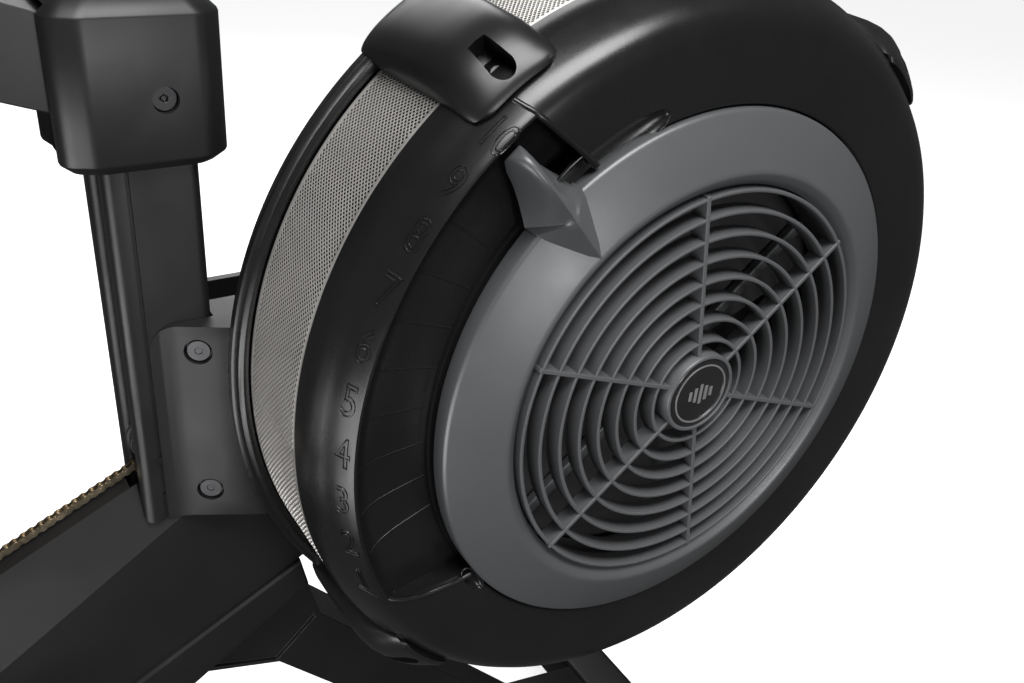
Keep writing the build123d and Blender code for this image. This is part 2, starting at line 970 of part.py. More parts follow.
upper_axle_z = track_z + roller_radius + 0.3
lower_axle_z = 410 - 8.3
with BuildPart() as seat_carriage:
    for side in (-1, 1):
        with BuildSketch(across(0, side * 40, 0)):
            with BuildLine():
                Polyline(
                    (seat_x - 92, 466),
                    (seat_x + 92, 466),
                    (seat_x + 92, 424),
                    (seat_x + 20, 392),
                    (seat_x - 20, 392),
                    (seat_x - 92, 424),
                    close=True,
                )
            make_face()
        extrude(amount=1.5, both=True)
    with Locations((seat_x, 0, 464.5)):
        Box(184, 83, 3)
    for axle_place in (-68, 68):
        with Locations((seat_x + axle_place, 0, upper_axle_z)):
            Cylinder(4.05, 90, rotation=(90, 0, 0), mode=Mode.SUBTRACT)
    for side in (-1, 1):
        with Locations((seat_x, side * 31, lower_axle_z)):
            Cylinder(3.5, 17, rotation=(90, 0, 0))
save(seat_carriage.part, "seat_carriage")


def upper_rollers(place):
    # two rollers fixed on one through axle
    with BuildPart() as pair:
        with Locations((seat_x + place, 0, upper_axle_z)):
            Cylinder(4, 86, rotation=(90, 0, 0))
        for side in (-1, 1):
            with Locations((seat_x + place, side * 19, upper_axle_z)):
                Cylinder(roller_radius, 11, rotation=(90, 0, 0))
    return pair.part


save(upper_rollers(68), "seat_rollers_front")
save(upper_rollers(-68), "seat_rollers_rear")


def lower_roller(side):
    # a guide roller that runs under the rail flange
    with BuildPart() as roller:
        with Locations((seat_x, side * 21, lower_axle_z)):
            Cylinder(8, 12, rotation=(90, 0, 0))
        with Locations((seat_x, side * 27, lower_axle_z)):
            Cylinder(3.55, 30, rotation=(90, 0, 0), mode=Mode.SUBTRACT)
    return roller.part


save(lower_roller(-1), "seat_guide_roller_near")
save(lower_roller(1), "seat_guide_roller_far")

# The handle: a bent bar with two foam grips and a yoke for the chain
bend = radians(10)
grip_start = 62
grip_end = 238
bar_end_y = grip_end - 9
bar_end_x = handle_x - (bar_end_y - 46) * tan(bend)
with BuildPart() as handle_bar:
    with BuildLine():
        Polyline(
            (bar_end_x, -bar_end_y, handle_z),
            (handle_x, -46, handle_z),
            (handle_x, 46, handle_z),
            (bar_end_x, bar_end_y, handle_z),
        )
    with BuildSketch(Plane((bar_end_x, -bar_end_y, handle_z), (0, 0, 1), (sin(bend), cos(bend), 0))):
        Circle(9)
    sweep(transition=Transition.ROUND)
save(handle_bar.part, "handle_bar")

with BuildPart() as handle_grips:
    for side in (-1, 1):
        middle_y = (grip_start + grip_end) / 2
        middle_x = handle_x - (middle_y - 46) * tan(bend)
        grip_plane = Plane((middle_x, side * middle_y, handle_z), z_dir=(-sin(bend), side * cos(bend), 0))
        with Locations(grip_plane.location):
            Cylinder(17, grip_end - grip_start)
            with Locations((0, 0, -6)):
                Cylinder(9.1, grip_end - grip_start, mode=Mode.SUBTRACT)
save(handle_grips.part, "handle_grips")

# The yoke ties the chain to the middle of the bar
pin_x = 524
pin_z = guide_z + (pin_x - guide_x) * tan(radians(chain_slope))
with BuildPart() as handle_yoke:
    for side in (-1, 1):
        with BuildSketch(across(0, side * 5.5, 0)):
            with Locations((handle_x, handle_z)):
                Circle(12.5)
            with Locations((pin_x, pin_z)):
                Circle(5.5)
            with BuildLine():
                Polyline(
                    (handle_x, handle_z + 12.4),
                    (pin_x, pin_z + 5.4),
                    (pin_x, pin_z - 5.4),
                    (handle_x, handle_z - 12.4),
                    close=True,
                )
            make_face()
        extrude(amount=2, both=True)
    with Locations((handle_x, 0, handle_z)):
        Cylinder(12.5, 15, rotation=(90, 0, 0))
        Cylinder(9.1, 40, rotation=(90, 0, 0), mode=Mode.SUBTRACT)
    with Locations((pin_x, 0, pin_z)):
        Cylinder(1.4, 15, rotation=(90, 0, 0))
save(handle_yoke.part, "handle_yoke")

# The first run of chain behind the handle, link by link
slope = radians(chain_slope)
link_count = 21
chain_plane = Plane((pin_x, 0, pin_z), (cos(slope), 0, sin(slope)), (0, -1, 0))
with BuildPart() as lead_chain:
    for link in range(link_count):
        plate_y = 1.9 + 0.5 * (link % 2)
        for side in (-1, 1):
            with BuildSketch(chain_plane.offset(side * plate_y)):
                with Locations((chain_pitch * (link + 0.5), 0)):
                    SlotCenterToCenter(chain_pitch, 5.2)
            extrude(amount=0.3, both=True)
    for link in range(1, link_count + 1):
        with BuildSketch(chain_plane):
            with Locations((chain_pitch * link, 0)):
                Circle(1.65)
        extrude(amount=2.6, both=True)
    with BuildSketch(chain_plane):
        Circle(2.4)
    extrude(amount=1.7, both=True)
    with Locations((pin_x, 0, pin_z)):
        Cylinder(1.47, 20, rotation=(90, 0, 0), mode=Mode.SUBTRACT)
save(lead_chain.part, "lead_chain")

# The console arm: a tube with a rounded end in the socket and a tongue for the console
rise = radians(arm_rise)
arm_plane = Plane((pivot_x, 0, pivot_z), (-cos(rise), 0, sin(rise)), (0, 1, 0))
hinge_out = arm_length + 16
with BuildPart() as console_arm:
    with BuildSketch(arm_plane):
        Circle(25)
        with Locations((arm_length / 2, 0)):
            Rectangle(arm_length, 50)
    extrude(amount=22, both=True)
    with BuildSketch(arm_plane):
        with Locations((arm_length / 2 + 15, 0)):
            Rectangle(arm_length - 50, 43)
    extrude(amount=18.5, both=True, mode=Mode.SUBTRACT)
    with BuildSketch(arm_plane):
        with Locations((hinge_out, 0)):
            Circle(11)
        with Locations((hinge_out - 14, 0)):
            Rectangle(28, 22)
    extrude(amount=7, both=True)
    with BuildSketch(arm_plane):
        Circle(4.95)
        with Locations((hinge_out, 0)):
            Circle(4.05)
    extrude(amount=40, both=True, mode=Mode.SUBTRACT)
save(console_arm.part, "console_arm")

# The console: a housing on two lugs, its window, and two buttons
hinge_x = pivot_x - hinge_out * cos(rise)
hinge_z = pivot_z + hinge_out * sin(rise)
look = radians(25)


def console_plane(out):
    # x runs to the rower's right, y up the face, z out of the face towards the rower
    middle = (hinge_x - out * cos(look), 0, hinge_z + out * sin(look))
    return Plane(middle, (0, -1, 0), (-cos(look), 0, sin(look)))


face_out = 48
button_places = (-24, 24)
with BuildPart() as console_housing:
    with BuildSketch(console_plane(face_out)):
        RectangleRounded(176, 132, 16)
    extrude(amount=-32)
    chamfer(console_housing.faces().sort_by(Axis.X)[0].edges(), 4)
    for side in (-1, 1):
        with BuildSketch(across(hinge_x, side * 11.5, hinge_z)):
            Circle(10)
            with BuildLine():
                Polyline(
                    (10 * sin(look), 10 * cos(look)),
                    (-20 * cos(look) + 10 * sin(look), 20 * sin(look) + 10 * cos(look)),
                    (-20 * cos(look) - 10 * sin(look), 20 * sin(look) - 10 * cos(look)),
                    (-10 * sin(look), -10 * cos(look)),
                    close=True,
                )
            make_face()
        extrude(amount=4, both=True)
    with Locations((hinge_x, 0, hinge_z)):
        Cylinder(4, 31, rotation=(90, 0, 0))
    with BuildSketch(console_plane(face_out)):
        with Locations((0, 14)):
            Rectangle(120, 74)
    extrude(amount=-2.5, mode=Mode.SUBTRACT)
    with BuildSketch(console_plane(face_out)):
        for place in button_places:
            with Locations((place, -44)):
                Circle(8.3)
    extrude(amount=-8, mode=Mode.SUBTRACT)
save(console_housing.part, "console_housing")

with BuildPart() as console_screen:
    with BuildSketch(console_plane(face_out)):
        with Locations((0, 14)):
            Rectangle(119.6, 73.6)
    extrude(amount=-2.5)
save(console_screen.part, "console_screen")


def console_button(place):
    with BuildPart() as button:
        with BuildSketch(console_plane(face_out - 6)):
            with Locations((place, -44)):
                Circle(8)
        extrude(amount=8)
    return button.part


save(console_button(button_places[0]), "console_button_left")
save(console_button(button_places[1]), "console_button_right")
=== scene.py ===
import bpy
import bmesh
import numpy as np
from math import atan2, cos, pi, radians, sin, sqrt, tan
from mathutils import Matrix, Vector


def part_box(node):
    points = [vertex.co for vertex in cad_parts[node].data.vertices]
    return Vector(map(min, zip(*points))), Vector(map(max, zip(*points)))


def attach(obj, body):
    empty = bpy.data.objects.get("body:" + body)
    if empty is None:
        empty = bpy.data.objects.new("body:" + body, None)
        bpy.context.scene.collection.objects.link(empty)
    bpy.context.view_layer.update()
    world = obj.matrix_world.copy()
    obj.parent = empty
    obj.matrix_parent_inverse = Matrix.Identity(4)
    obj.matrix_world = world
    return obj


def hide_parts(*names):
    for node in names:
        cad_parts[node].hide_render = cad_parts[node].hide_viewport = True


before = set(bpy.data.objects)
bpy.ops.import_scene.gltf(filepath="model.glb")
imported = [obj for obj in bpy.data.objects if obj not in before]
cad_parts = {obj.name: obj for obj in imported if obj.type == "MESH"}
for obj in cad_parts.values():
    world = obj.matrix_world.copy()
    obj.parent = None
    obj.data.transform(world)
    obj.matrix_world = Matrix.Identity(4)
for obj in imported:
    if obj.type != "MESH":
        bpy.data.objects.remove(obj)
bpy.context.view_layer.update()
print("frame loaded")

bandLow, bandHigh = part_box("perforated_band")
axle = Vector(((bandLow.x + bandHigh.x) / 2, 0, (bandLow.z + bandHigh.z) / 2))
mm = 0.001
yDir = Vector((0, 1, 0))
perTurn = 180 / pi


# helpers
def around(radius, angle, y):
    # a point by its distance from the axle and its angle, in millimetres and degrees
    turn = radians(angle)
    return Vector((axle.x + radius * mm * cos(turn), y * mm, axle.z + radius * mm * sin(turn)))


def inScene(name, data):
    obj = bpy.data.objects.new(name, data)
    bpy.context.scene.collection.objects.link(obj)
    return obj


def thicken(obj, name, thick, offset):
    mod = obj.modifiers.new(name, "SOLIDIFY")
    mod.thickness = thick * mm
    mod.offset = offset


def roundEdges(obj, width, segments, angle=30, harden=True, corners="MITER_SHARP"):
    mod = obj.modifiers.new("edges", "BEVEL")
    mod.width = width * mm
    mod.segments = segments
    mod.limit_method = "ANGLE"
    mod.angle_limit = radians(angle)
    mod.harden_normals = harden
    mod.miter_outer = corners


def finished(name, bm, finish, node, body="frame", stands=True, bevel=0, segments=2, sharp=32, flip=True):
    # one visible piece, attached to its body's empty; stands says that it takes its CAD node's place
    bmesh.ops.remove_doubles(bm, verts=bm.verts, dist=1e-6)
    if flip:
        bmesh.ops.recalc_face_normals(bm, faces=bm.faces)
    mesh = bpy.data.meshes.new(name)
    bm.to_mesh(mesh)
    bm.free()
    mesh.shade_smooth()
    mesh.set_sharp_from_angle(angle=radians(sharp))
    obj = inScene(name, mesh)
    mesh.materials.append(finishes[finish])
    if bevel:
        roundEdges(obj, bevel, segments, sharp, corners="MITER_ARC")
    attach(obj, body)
    if stands:
        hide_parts(node)
    return obj


def cutWith(obj, bm):
    # takes the closed shape in bm out of a finished piece
    bmesh.ops.recalc_face_normals(bm, faces=bm.faces)
    shape = bpy.data.meshes.new("cutter")
    bm.to_mesh(shape)
    bm.free()
    cutter = inScene("cutter", shape)
    mod = obj.modifiers.new("cut", "BOOLEAN")
    mod.operation = "DIFFERENCE"
    mod.solver = "EXACT"
    mod.object = cutter
    bpy.context.view_layer.update()
    graph = bpy.context.evaluated_depsgraph_get()
    cut = bpy.data.meshes.new_from_object(obj.evaluated_get(graph))
    obj.modifiers.clear()
    old = obj.data
    obj.data = cut
    cut.name = old.name
    cut.set_sharp_from_angle(angle=radians(32))
    bpy.data.objects.remove(cutter)


def spinProfile(bm, profile, steps):
    # turns a closed outline of radius and y pairs all the way round the axle
    verts = [bm.verts.new(around(r, 0, y)) for r, y in profile]
    edges = [bm.edges.new((verts[i], verts[(i + 1) % len(verts)])) for i in range(len(verts))]
    bmesh.ops.spin(bm, geom=verts + edges, cent=axle, axis=(0, -1, 0), angle=radians(360), steps=steps,
                   use_merge=True)


def sweepShell(bm, profile, startOf, endOf, steps):
    # a closed outline swept part of the way round, where each distance has its own first and last angle
    n = len(profile)
    rows = []
    for k in range(steps + 1):
        t = k / steps
        rows.append([bm.verts.new(around(r, startOf(r) * (1 - t) + endOf(r) * t, y)) for r, y in profile])
    for near, far in zip(rows, rows[1:]):
        for j in range(n):
            bm.faces.new((near[j], near[(j + 1) % n], far[(j + 1) % n], far[j]))
    caps = [bm.faces.new(rows[0]), bm.faces.new(rows[-1])]
    bmesh.ops.triangulate(bm, faces=caps)


def addBox(bm, size, matrix):
    scale = Matrix.Diagonal((size[0] * mm, size[1] * mm, size[2] * mm, 1))
    bmesh.ops.create_cube(bm, size=1, matrix=matrix @ scale)


def addRod(bm, radius, length, matrix, sides=24, far=None):
    top = radius if far is None else far
    bmesh.ops.create_cone(bm, cap_ends=True, segments=sides, radius1=radius * mm, radius2=top * mm, depth=length * mm,
                          matrix=matrix)


def placed(x, y, z, toAxis="Y"):
    # the frame of a rod along Y, or along X
    turn = Matrix.Rotation(radians(90), 4, "X" if toAxis == "Y" else "Y")
    return Matrix.Translation((x * mm, y * mm, z * mm)) @ turn


def facing(origin, xAxis, yAxis):
    x = Vector(xAxis).normalized()
    z = x.cross(Vector(yAxis)).normalized()
    y = z.cross(x)
    return Matrix.Translation(origin) @ Matrix((x, y, z)).transposed().to_4x4()


def prism(corners, shift):
    # a flat outline pushed in one direction
    bm = bmesh.new()
    face = bm.faces.new([bm.verts.new(c) for c in corners])
    grown = bmesh.ops.extrude_face_region(bm, geom=[face])
    bmesh.ops.translate(bm, verts=[g for g in grown["geom"] if isinstance(g, bmesh.types.BMVert)], vec=shift)
    return bm


def meshOf(curve):
    # the mesh that a curve or a text makes
    holder = inScene(curve.name + "Curve", curve)
    bpy.context.view_layer.update()
    mesh = bpy.data.meshes.new_from_object(holder.evaluated_get(bpy.context.evaluated_depsgraph_get()))
    bpy.data.objects.remove(holder)
    mesh.materials.clear()
    bm = bmesh.new()
    bm.from_mesh(mesh)
    return bm


# finishes
def makeFinish(name, look):
    mat = bpy.data.materials.new(name)
    mat.use_nodes = True
    nodes = mat.node_tree.nodes
    links = mat.node_tree.links
    shader = nodes["Principled BSDF"]
    for socket, key, usual in (("Metallic", "metal", 0), ("Specular IOR Level", "specular", 0.5),
                               ("Coat Weight", "coat", 0), ("Coat Roughness", "coatRough", 0.1),
                               ("Sheen Weight", "sheen", 0)):
        shader.inputs[socket].default_value = look.get(key, usual)
    coords = nodes.new("ShaderNodeTexCoord")
    place = nodes.new("ShaderNodeMapping")
    place.inputs["Scale"].default_value = look.get("stretch", (1, 1, 1))
    links.new(coords.outputs["Object"], place.inputs["Vector"])

    def pattern(kind, scale):
        node = nodes.new("ShaderNodeTex" + kind)
        node.inputs["Scale"].default_value = scale
        links.new(place.outputs["Vector"], node.inputs["Vector"])
        return node

    # slow colour drift
    tone = pattern("Noise", look.get("toneScale", 9))
    tone.inputs["Detail"].default_value = 4
    ramp = nodes.new("ShaderNodeValToRGB")
    base = look["color"]
    drift = look.get("drift", 0.18)
    ramp.color_ramp.elements[0].position = 0.3
    ramp.color_ramp.elements[1].position = 0.72
    ramp.color_ramp.elements[0].color = (*[c * (1 - drift) for c in base], 1)
    ramp.color_ramp.elements[1].color = (*[c * (1 + drift) for c in base], 1)
    links.new(tone.outputs["Fac"], ramp.inputs["Fac"])
    links.new(ramp.outputs["Color"], shader.inputs["Base Color"])
    # uneven gloss
    smear = pattern("Noise", look.get("smearScale", 35))
    smear.inputs["Detail"].default_value = 5
    smear.inputs["Roughness"].default_value = 0.6
    spread = nodes.new("ShaderNodeMapRange")
    spread.inputs["From Min"].default_value = 0.3
    spread.inputs["From Max"].default_value = 0.7
    spread.inputs["To Min"].default_value = look["rough"][0]
    spread.inputs["To Max"].default_value = look["rough"][1]
    links.new(smear.outputs["Fac"], spread.inputs["Value"])
    links.new(spread.outputs["Result"], shader.inputs["Roughness"])
    # fine grain
    grain = pattern("Voronoi" if look.get("grainKind") == "cells" else "Noise", look.get("grainScale", 900))
    bump = nodes.new("ShaderNodeBump")
    bump.inputs["Strength"].default_value = look.get("grain", 0.1)
    bump.inputs["Distance"].default_value = look.get("grainDepth", 0.0002)
    links.new(grain.outputs[0], bump.inputs["Height"])
    links.new(bump.outputs["Normal"], shader.inputs["Normal"])
    return mat


# what each finish says beyond the usual values in makeFinish
finishLooks = {
    "caseBlack": dict(color=(0.0075, 0.0076, 0.008), rough=(0.24, 0.31), grain=0.02, grainScale=1600,
                      specular=0.42),
    "dialBlack": dict(color=(0.0075, 0.0075, 0.008), rough=(0.24, 0.32), grain=0.03, grainScale=1500, specular=0.4),
    "lugBlack": dict(color=(0.008, 0.008, 0.0085), rough=(0.32, 0.4), grain=0.05, grainScale=1300, specular=0.4),
    "frameBlack": dict(color=(0.0085, 0.0085, 0.009), rough=(0.36, 0.48), grain=0.12, grainScale=1100,
                       smearScale=20, specular=0.38),
    "neckBlack": dict(color=(0.0085, 0.0085, 0.009), rough=(0.36, 0.48), grain=0.08, grainScale=1400,
                      smearScale=14, specular=0.38),
    "damperGrey": dict(color=(0.085, 0.087, 0.091), rough=(0.34, 0.42), metal=0.25, grainScale=2600, drift=0.06,
                       toneScale=1200),
    "grilleGrey": dict(color=(0.088, 0.09, 0.094), rough=(0.38, 0.48), metal=0.15, grainScale=2200, drift=0.08),
    "sheetSteel": dict(color=(0.62, 0.6, 0.575), rough=(0.38, 0.5), metal=0.7, grain=0.08, grainScale=1500),
    "chainNickel": dict(color=(0.50, 0.42, 0.30), rough=(0.24, 0.42), metal=1, grain=0.12, grainScale=1200,
                        drift=0.35, toneScale=160),
    "brightSteel": dict(color=(0.56, 0.56, 0.57), rough=(0.22, 0.36), metal=1, grain=0.12, grainScale=500,
                        stretch=(1, 22, 22)),
    "darkSteel": dict(color=(0.05, 0.05, 0.052), rough=(0.28, 0.42), metal=0.9, grain=0.12, grainScale=1400),
    "railAluminium": dict(color=(0.52, 0.525, 0.535), rough=(0.32, 0.42), metal=0.95, grain=0.14, grainScale=420,
                          stretch=(0.6, 26, 26), drift=0.08),
    "moulded": dict(color=(0.022, 0.022, 0.0235), rough=(0.48, 0.62), grain=0.28),
    "cupGrey": dict(color=(0.07, 0.071, 0.075), rough=(0.5, 0.62), grain=0.26, grainScale=800),
    "rubberBlack": dict(color=(0.018, 0.018, 0.018), rough=(0.62, 0.8), grain=0.3, grainScale=700),
    "foamBlack": dict(color=(0.022, 0.022, 0.023), rough=(0.72, 0.9), grain=0.5, grainScale=1100,
                      grainKind="cells", sheen=0.15),
    "seatFoam": dict(color=(0.026, 0.026, 0.028), rough=(0.55, 0.7), grain=0.4, grainScale=650, grainKind="cells"),
    "nylonWhite": dict(color=(0.55, 0.55, 0.52), rough=(0.4, 0.55), grain=0.12, drift=0.06),
    "buttonGrey": dict(color=(0.16, 0.165, 0.17), rough=(0.5, 0.62), grain=0.2),
    "consoleShell": dict(color=(0.04, 0.041, 0.044), rough=(0.4, 0.52), grain=0.3, grainScale=1000),
    "displayGreen": dict(color=(0.26, 0.31, 0.25), rough=(0.12, 0.2), grain=0.03, grainScale=2200, drift=0.05,
                         coat=0.6, coatRough=0.05),
    "inkBlack": dict(color=(0.02, 0.022, 0.02), rough=(0.3, 0.4), grain=0.05),
    "bladeBlack": dict(color=(0.02, 0.02, 0.02), rough=(0.5, 0.6)),
    "badgeBlack": dict(color=(0.01, 0.01, 0.01), rough=(0.14, 0.22), grain=0.03, coat=0.5, coatRough=0.08),
    "badgeSilver": dict(color=(0.30, 0.30, 0.31), rough=(0.3, 0.4), metal=0.6, grain=0.05),
}
finishes = {name: makeFinish(name, look) for name, look in finishLooks.items()}


def makeWebbing(name, color, ridges):
    # woven strap: ribs across the strap and a fine twill, both from its own UV map
    mat = makeFinish(name, {"color": color, "rough": (0.7, 0.85), "grain": 0.4, "grainScale": 1600, "sheen": 0.3})
    nodes = mat.node_tree.nodes
    links = mat.node_tree.links
    uv = nodes.new("ShaderNodeUVMap")
    uv.uv_map = "weave"
    wave = nodes.new("ShaderNodeTexWave")
    wave.bands_direction = "DIAGONAL"
    wave.inputs["Scale"].default_value = ridges
    wave.inputs["Distortion"].default_value = 0.6
    links.new(uv.outputs["UV"], wave.inputs["Vector"])
    rib = nodes.new("ShaderNodeBump")
    rib.inputs["Strength"].default_value = 0.7
    rib.inputs["Distance"].default_value = 0.0006
    links.new(wave.outputs["Fac"], rib.inputs["Height"])
    old = nodes["Bump"]
    links.new(old.outputs["Normal"], rib.inputs["Normal"])
    links.new(rib.outputs["Normal"], nodes["Principled BSDF"].inputs["Normal"])
    return mat


finishes["webbing"] = makeWebbing("webbing", (0.025, 0.025, 0.027), 260)
print("finishes ready")

# the damper-side cover, with its sunken dial
housingShape = {"steps": 220, "dialSteps": 72}
dialSteps = {
    "top": ((186, 120.3), (210, 122.9), (227.5, 124.5), (244, 125.8), (252, 126.6), (266, 127.8)),
    "bottom": ((186, 213), (200.8, 211.8), (211.5, 209.9), (227.6, 207.7), (238, 205.7), (244.3, 204.2),
               (252.6, 201.3), (257.7, 198.4), (266, 194)),
}


def stepAngle(which):
    radii = [r for r, a in dialSteps[which]]
    angles = [a for r, a in dialSteps[which]]
    return lambda radius: float(np.interp(radius, radii, angles))


topStep, bottomStep = stepAngle("top"), stepAngle("bottom")
outerShoulder = [(265, -138.2), (264.9, -144), (264, -149.6), (261.8, -155.4), (258.6, -161)]
innerShoulder = [(262, -138.2), (261.8, -143.8), (260.8, -148.8), (258.6, -154.4), (255.8, -159.8)]
fullOutline = (
    [(150, -166), (192.5, -166), (192.5, -179.2), (193.6, -180.2), (215, -181), (235, -181), (240, -180.4),
     (245, -178.8), (249.4, -175.4), (254.6, -169.2)] + outerShoulder[::-1] + innerShoulder
    + [(251.8, -167), (246.6, -173), (242, -175.8), (235, -178), (195.5, -177.2), (195.5, -163), (150, -163)]
)
ridgeLine = [(242.6, -176.6), (243.6, -178.4), (244.8, -179.9), (246, -180.6), (247.2, -180.5), (248.4, -179.4),
             (250.4, -176.6), (252.8, -172.4), (254.8, -168.8), (256.2, -165.6), (258.6, -161)]
sunkenOutline = (
    [(150, -166), (192.5, -166), (192.5, -162.5), (205, -163.5), (220, -165), (231, -167.2), (238, -170.6),
     (241.2, -173.8)]
    + ridgeLine[:-1] + outerShoulder[::-1] + innerShoulder
    + [(252.4, -165.6), (247, -174.6), (245.6, -175), (243.4, -171.6), (239.6, -167.8), (232, -164.4), (220, -162),
       (205, -160.5), (189.5, -159.6), (189.5, -163), (150, -163)]
)
stepOutline = [(193, -162.2), (193, -179.4), (215, -180.7), (235, -180.7), (240, -180.1), (244, -178.8),
               (243, -176.4), (240.6, -173), (237, -169.8), (230, -166.6), (219, -164.2), (205, -162.6)]
bm = bmesh.new()
sweepShell(bm, fullOutline, bottomStep, lambda radius: topStep(radius) + 360, housingShape["steps"])
cover = finished("damperSideCover", bm, "caseBlack", "damper_side_cover")
# two leaf-shaped finger notches beside the ring
notchPlaces = {"Top": (118, 195, 44, 11, 9), "Bottom": (214, 195.5, 13, 5, 5)}
for name, (angle, radius, long, wide, deep) in notchPlaces.items():
    turn = radians(angle)
    axes = facing(around(radius, angle, -180.5), (-sin(turn), 0, cos(turn)), (cos(turn), 0, sin(turn)))
    shape = axes @ Matrix.Diagonal((long * mm, wide * mm, deep * mm, 1))
    bm = bmesh.new()
    bmesh.ops.create_uvsphere(bm, u_segments=48, v_segments=24, radius=1)
    bmesh.ops.transform(bm, verts=bm.verts, matrix=shape)
    cutWith(cover, bm)
    # the smooth floor of the scoop
    bm = bmesh.new()
    bmesh.ops.create_uvsphere(bm, u_segments=48, v_segments=24, radius=1.004)
    bmesh.ops.transform(bm, verts=bm.verts, matrix=shape)
    top = [v for v in bm.verts if v.co.y < -0.18052]
    bmesh.ops.delete(bm, geom=top, context="VERTS")
    bmesh.ops.remove_doubles(bm, verts=bm.verts, dist=1e-6)
    scoop = finished("fingerScoop" + name, bm, "caseBlack", "damper_side_cover", stands=False, flip=False,
                     sharp=60)
    thicken(scoop, "wall", 0.9, 1)
bm = bmesh.new()
sweepShell(bm, sunkenOutline, topStep, bottomStep, housingShape["dialSteps"])
finished("dialTrough", bm, "dialBlack", "damper_side_cover", stands=False)
bm = bmesh.new()
sweepShell(bm, stepOutline, lambda radius: topStep(radius) - 0.7, topStep, 2)
sweepShell(bm, stepOutline, bottomStep, lambda radius: bottomStep(radius) + 0.7, 2)
finished("dialSteps", bm, "caseBlack", "damper_side_cover", stands=False, bevel=0.5)


def bead(name, points, thick, finish, node):
    # a rounded rail swept along a smooth line
    curve = bpy.data.curves.new(name, "CURVE")
    curve.dimensions = "3D"
    curve.bevel_depth = thick * mm
    curve.bevel_resolution = 3
    curve.resolution_u = 6
    line = curve.splines.new("NURBS")
    line.points.add(len(points) - 1)
    for spot, p in zip(line.points, points):
        spot.co = (*p, 1)
    line.order_u = 3
    line.use_endpoint_u = True
    bm = meshOf(curve)
    bmesh.ops.remove_doubles(bm, verts=bm.verts, dist=1e-6)
    bmesh.ops.holes_fill(bm, edges=[e for e in bm.edges if e.is_boundary])
    finished(name, bm, finish, node, stands=False, sharp=60)


stepLine = [(254.5, -168.6), (250.5, -173.6), (246.5, -177.2), (241.5, -179.2), (235, -179.8), (226, -179.9),
            (214, -179.8), (204, -179.4), (194.5, -178.9)]
for name, angleOf in (("Top", topStep), ("Bottom", bottomStep)):
    shift = -0.3 if name == "Top" else 0.3
    bead("stepBead" + name, [around(r, angleOf(r) + shift, y) for r, y in stepLine], 1.9, "caseBlack",
         "damper_side_cover")
print("cover done")

# thin ribs between the dial steps
dialMarks = {"first": 131.1, "spacing": 7.52, "count": 10, "rib": 0.45}
floorLine = [(193.5, -162.9), (205, -163.8), (220, -165.3), (231, -167.5), (238, -170.9), (241.6, -174.4)]
for i in range(2, dialMarks["count"]):
    angle = dialMarks["first"] + dialMarks["spacing"] * (i - 0.5)
    bead("dialLine" + str(i - 1), [around(r, angle, y + 0.35) for r, y in floorLine], dialMarks["rib"], "dialBlack",
         "damper_side_cover")


ridgeSteps = [0]
for p, q in zip(ridgeLine, ridgeLine[1:]):
    ridgeSteps.append(ridgeSteps[-1] + sqrt((q[0] - p[0]) ** 2 + (q[1] - p[1]) ** 2))


def onRidge(along, lift):
    # a point on the ridge's skin, by its distance outwards over the ridge from the floor side
    radius = float(np.interp(along, ridgeSteps, [r for r, y in ridgeLine]))
    y = float(np.interp(along, ridgeSteps, [y for r, y in ridgeLine]))
    i = min(max(0, sum(1 for s in ridgeSteps if s <= along) - 1), len(ridgeLine) - 2)
    run = Vector(ridgeLine[i + 1]) - Vector(ridgeLine[i])
    out = Vector((-run.y, run.x)).normalized()
    if out.y > 0:
        out = -out
    return radius + out.x * lift, y + out.y * lift


digitShape = {"tall": 27, "wide": 0.8, "line": 0.6, "middle": 14.6, "tens": 12.6}
for i in range(dialMarks["count"]):
    angle = dialMarks["first"] + dialMarks["spacing"] * i
    number = str(10 - i)
    curve = bpy.data.curves.new("dialNumber", "FONT")
    curve.body = number
    curve.size = digitShape["tall"]
    curve.align_x = "CENTER"
    curve.align_y = "CENTER"
    curve.fill_mode = "NONE"
    curve.bevel_depth = digitShape["line"]
    curve.bevel_resolution = 1
    curve.resolution_u = 6
    bm = meshOf(curve)
    edges = [e for e in bm.edges if e.calc_length() > 1.2]
    bmesh.ops.subdivide_edges(bm, edges=edges, cuts=3)
    squeeze = digitShape["wide"] * (0.86 if number == "10" else 1)
    middle = digitShape["tens" if number == "10" else "middle"]
    for v in bm.verts:
        radius, y = onRidge(middle - v.co.x * squeeze, v.co.z + 0.1)
        v.co = around(radius, angle - v.co.y / 250 * perTurn, y)
    finished("dialNumber" + number, bm, "caseBlack", "damper_side_cover", stands=False, sharp=60)
print("dial done")

# the damper ring and its pointer
ringShape = {"steps": 256, "pointerAngle": 130.9}
ringOutline = [(145, -184), (145.4, -189), (151.5, -194.6), (153, -195.8), (154.6, -196.1), (157, -195.4),
               (188.6, -183.6), (190.4, -182.4), (191, -180.6), (191, -171), (189.6, -168.6), (149.6, -168.6),
               (149.6, -162.4), (153, -162.4), (153, -159), (145, -159)]
bm = bmesh.new()
spinProfile(bm, ringOutline, ringShape["steps"])
finished("damperRing", bm, "damperGrey", "damper_ring", "damper", sharp=40)
turn = radians(ringShape["pointerAngle"])
outward = Vector((cos(turn), 0, sin(turn)))
side = Vector((-sin(turn), 0, cos(turn)))
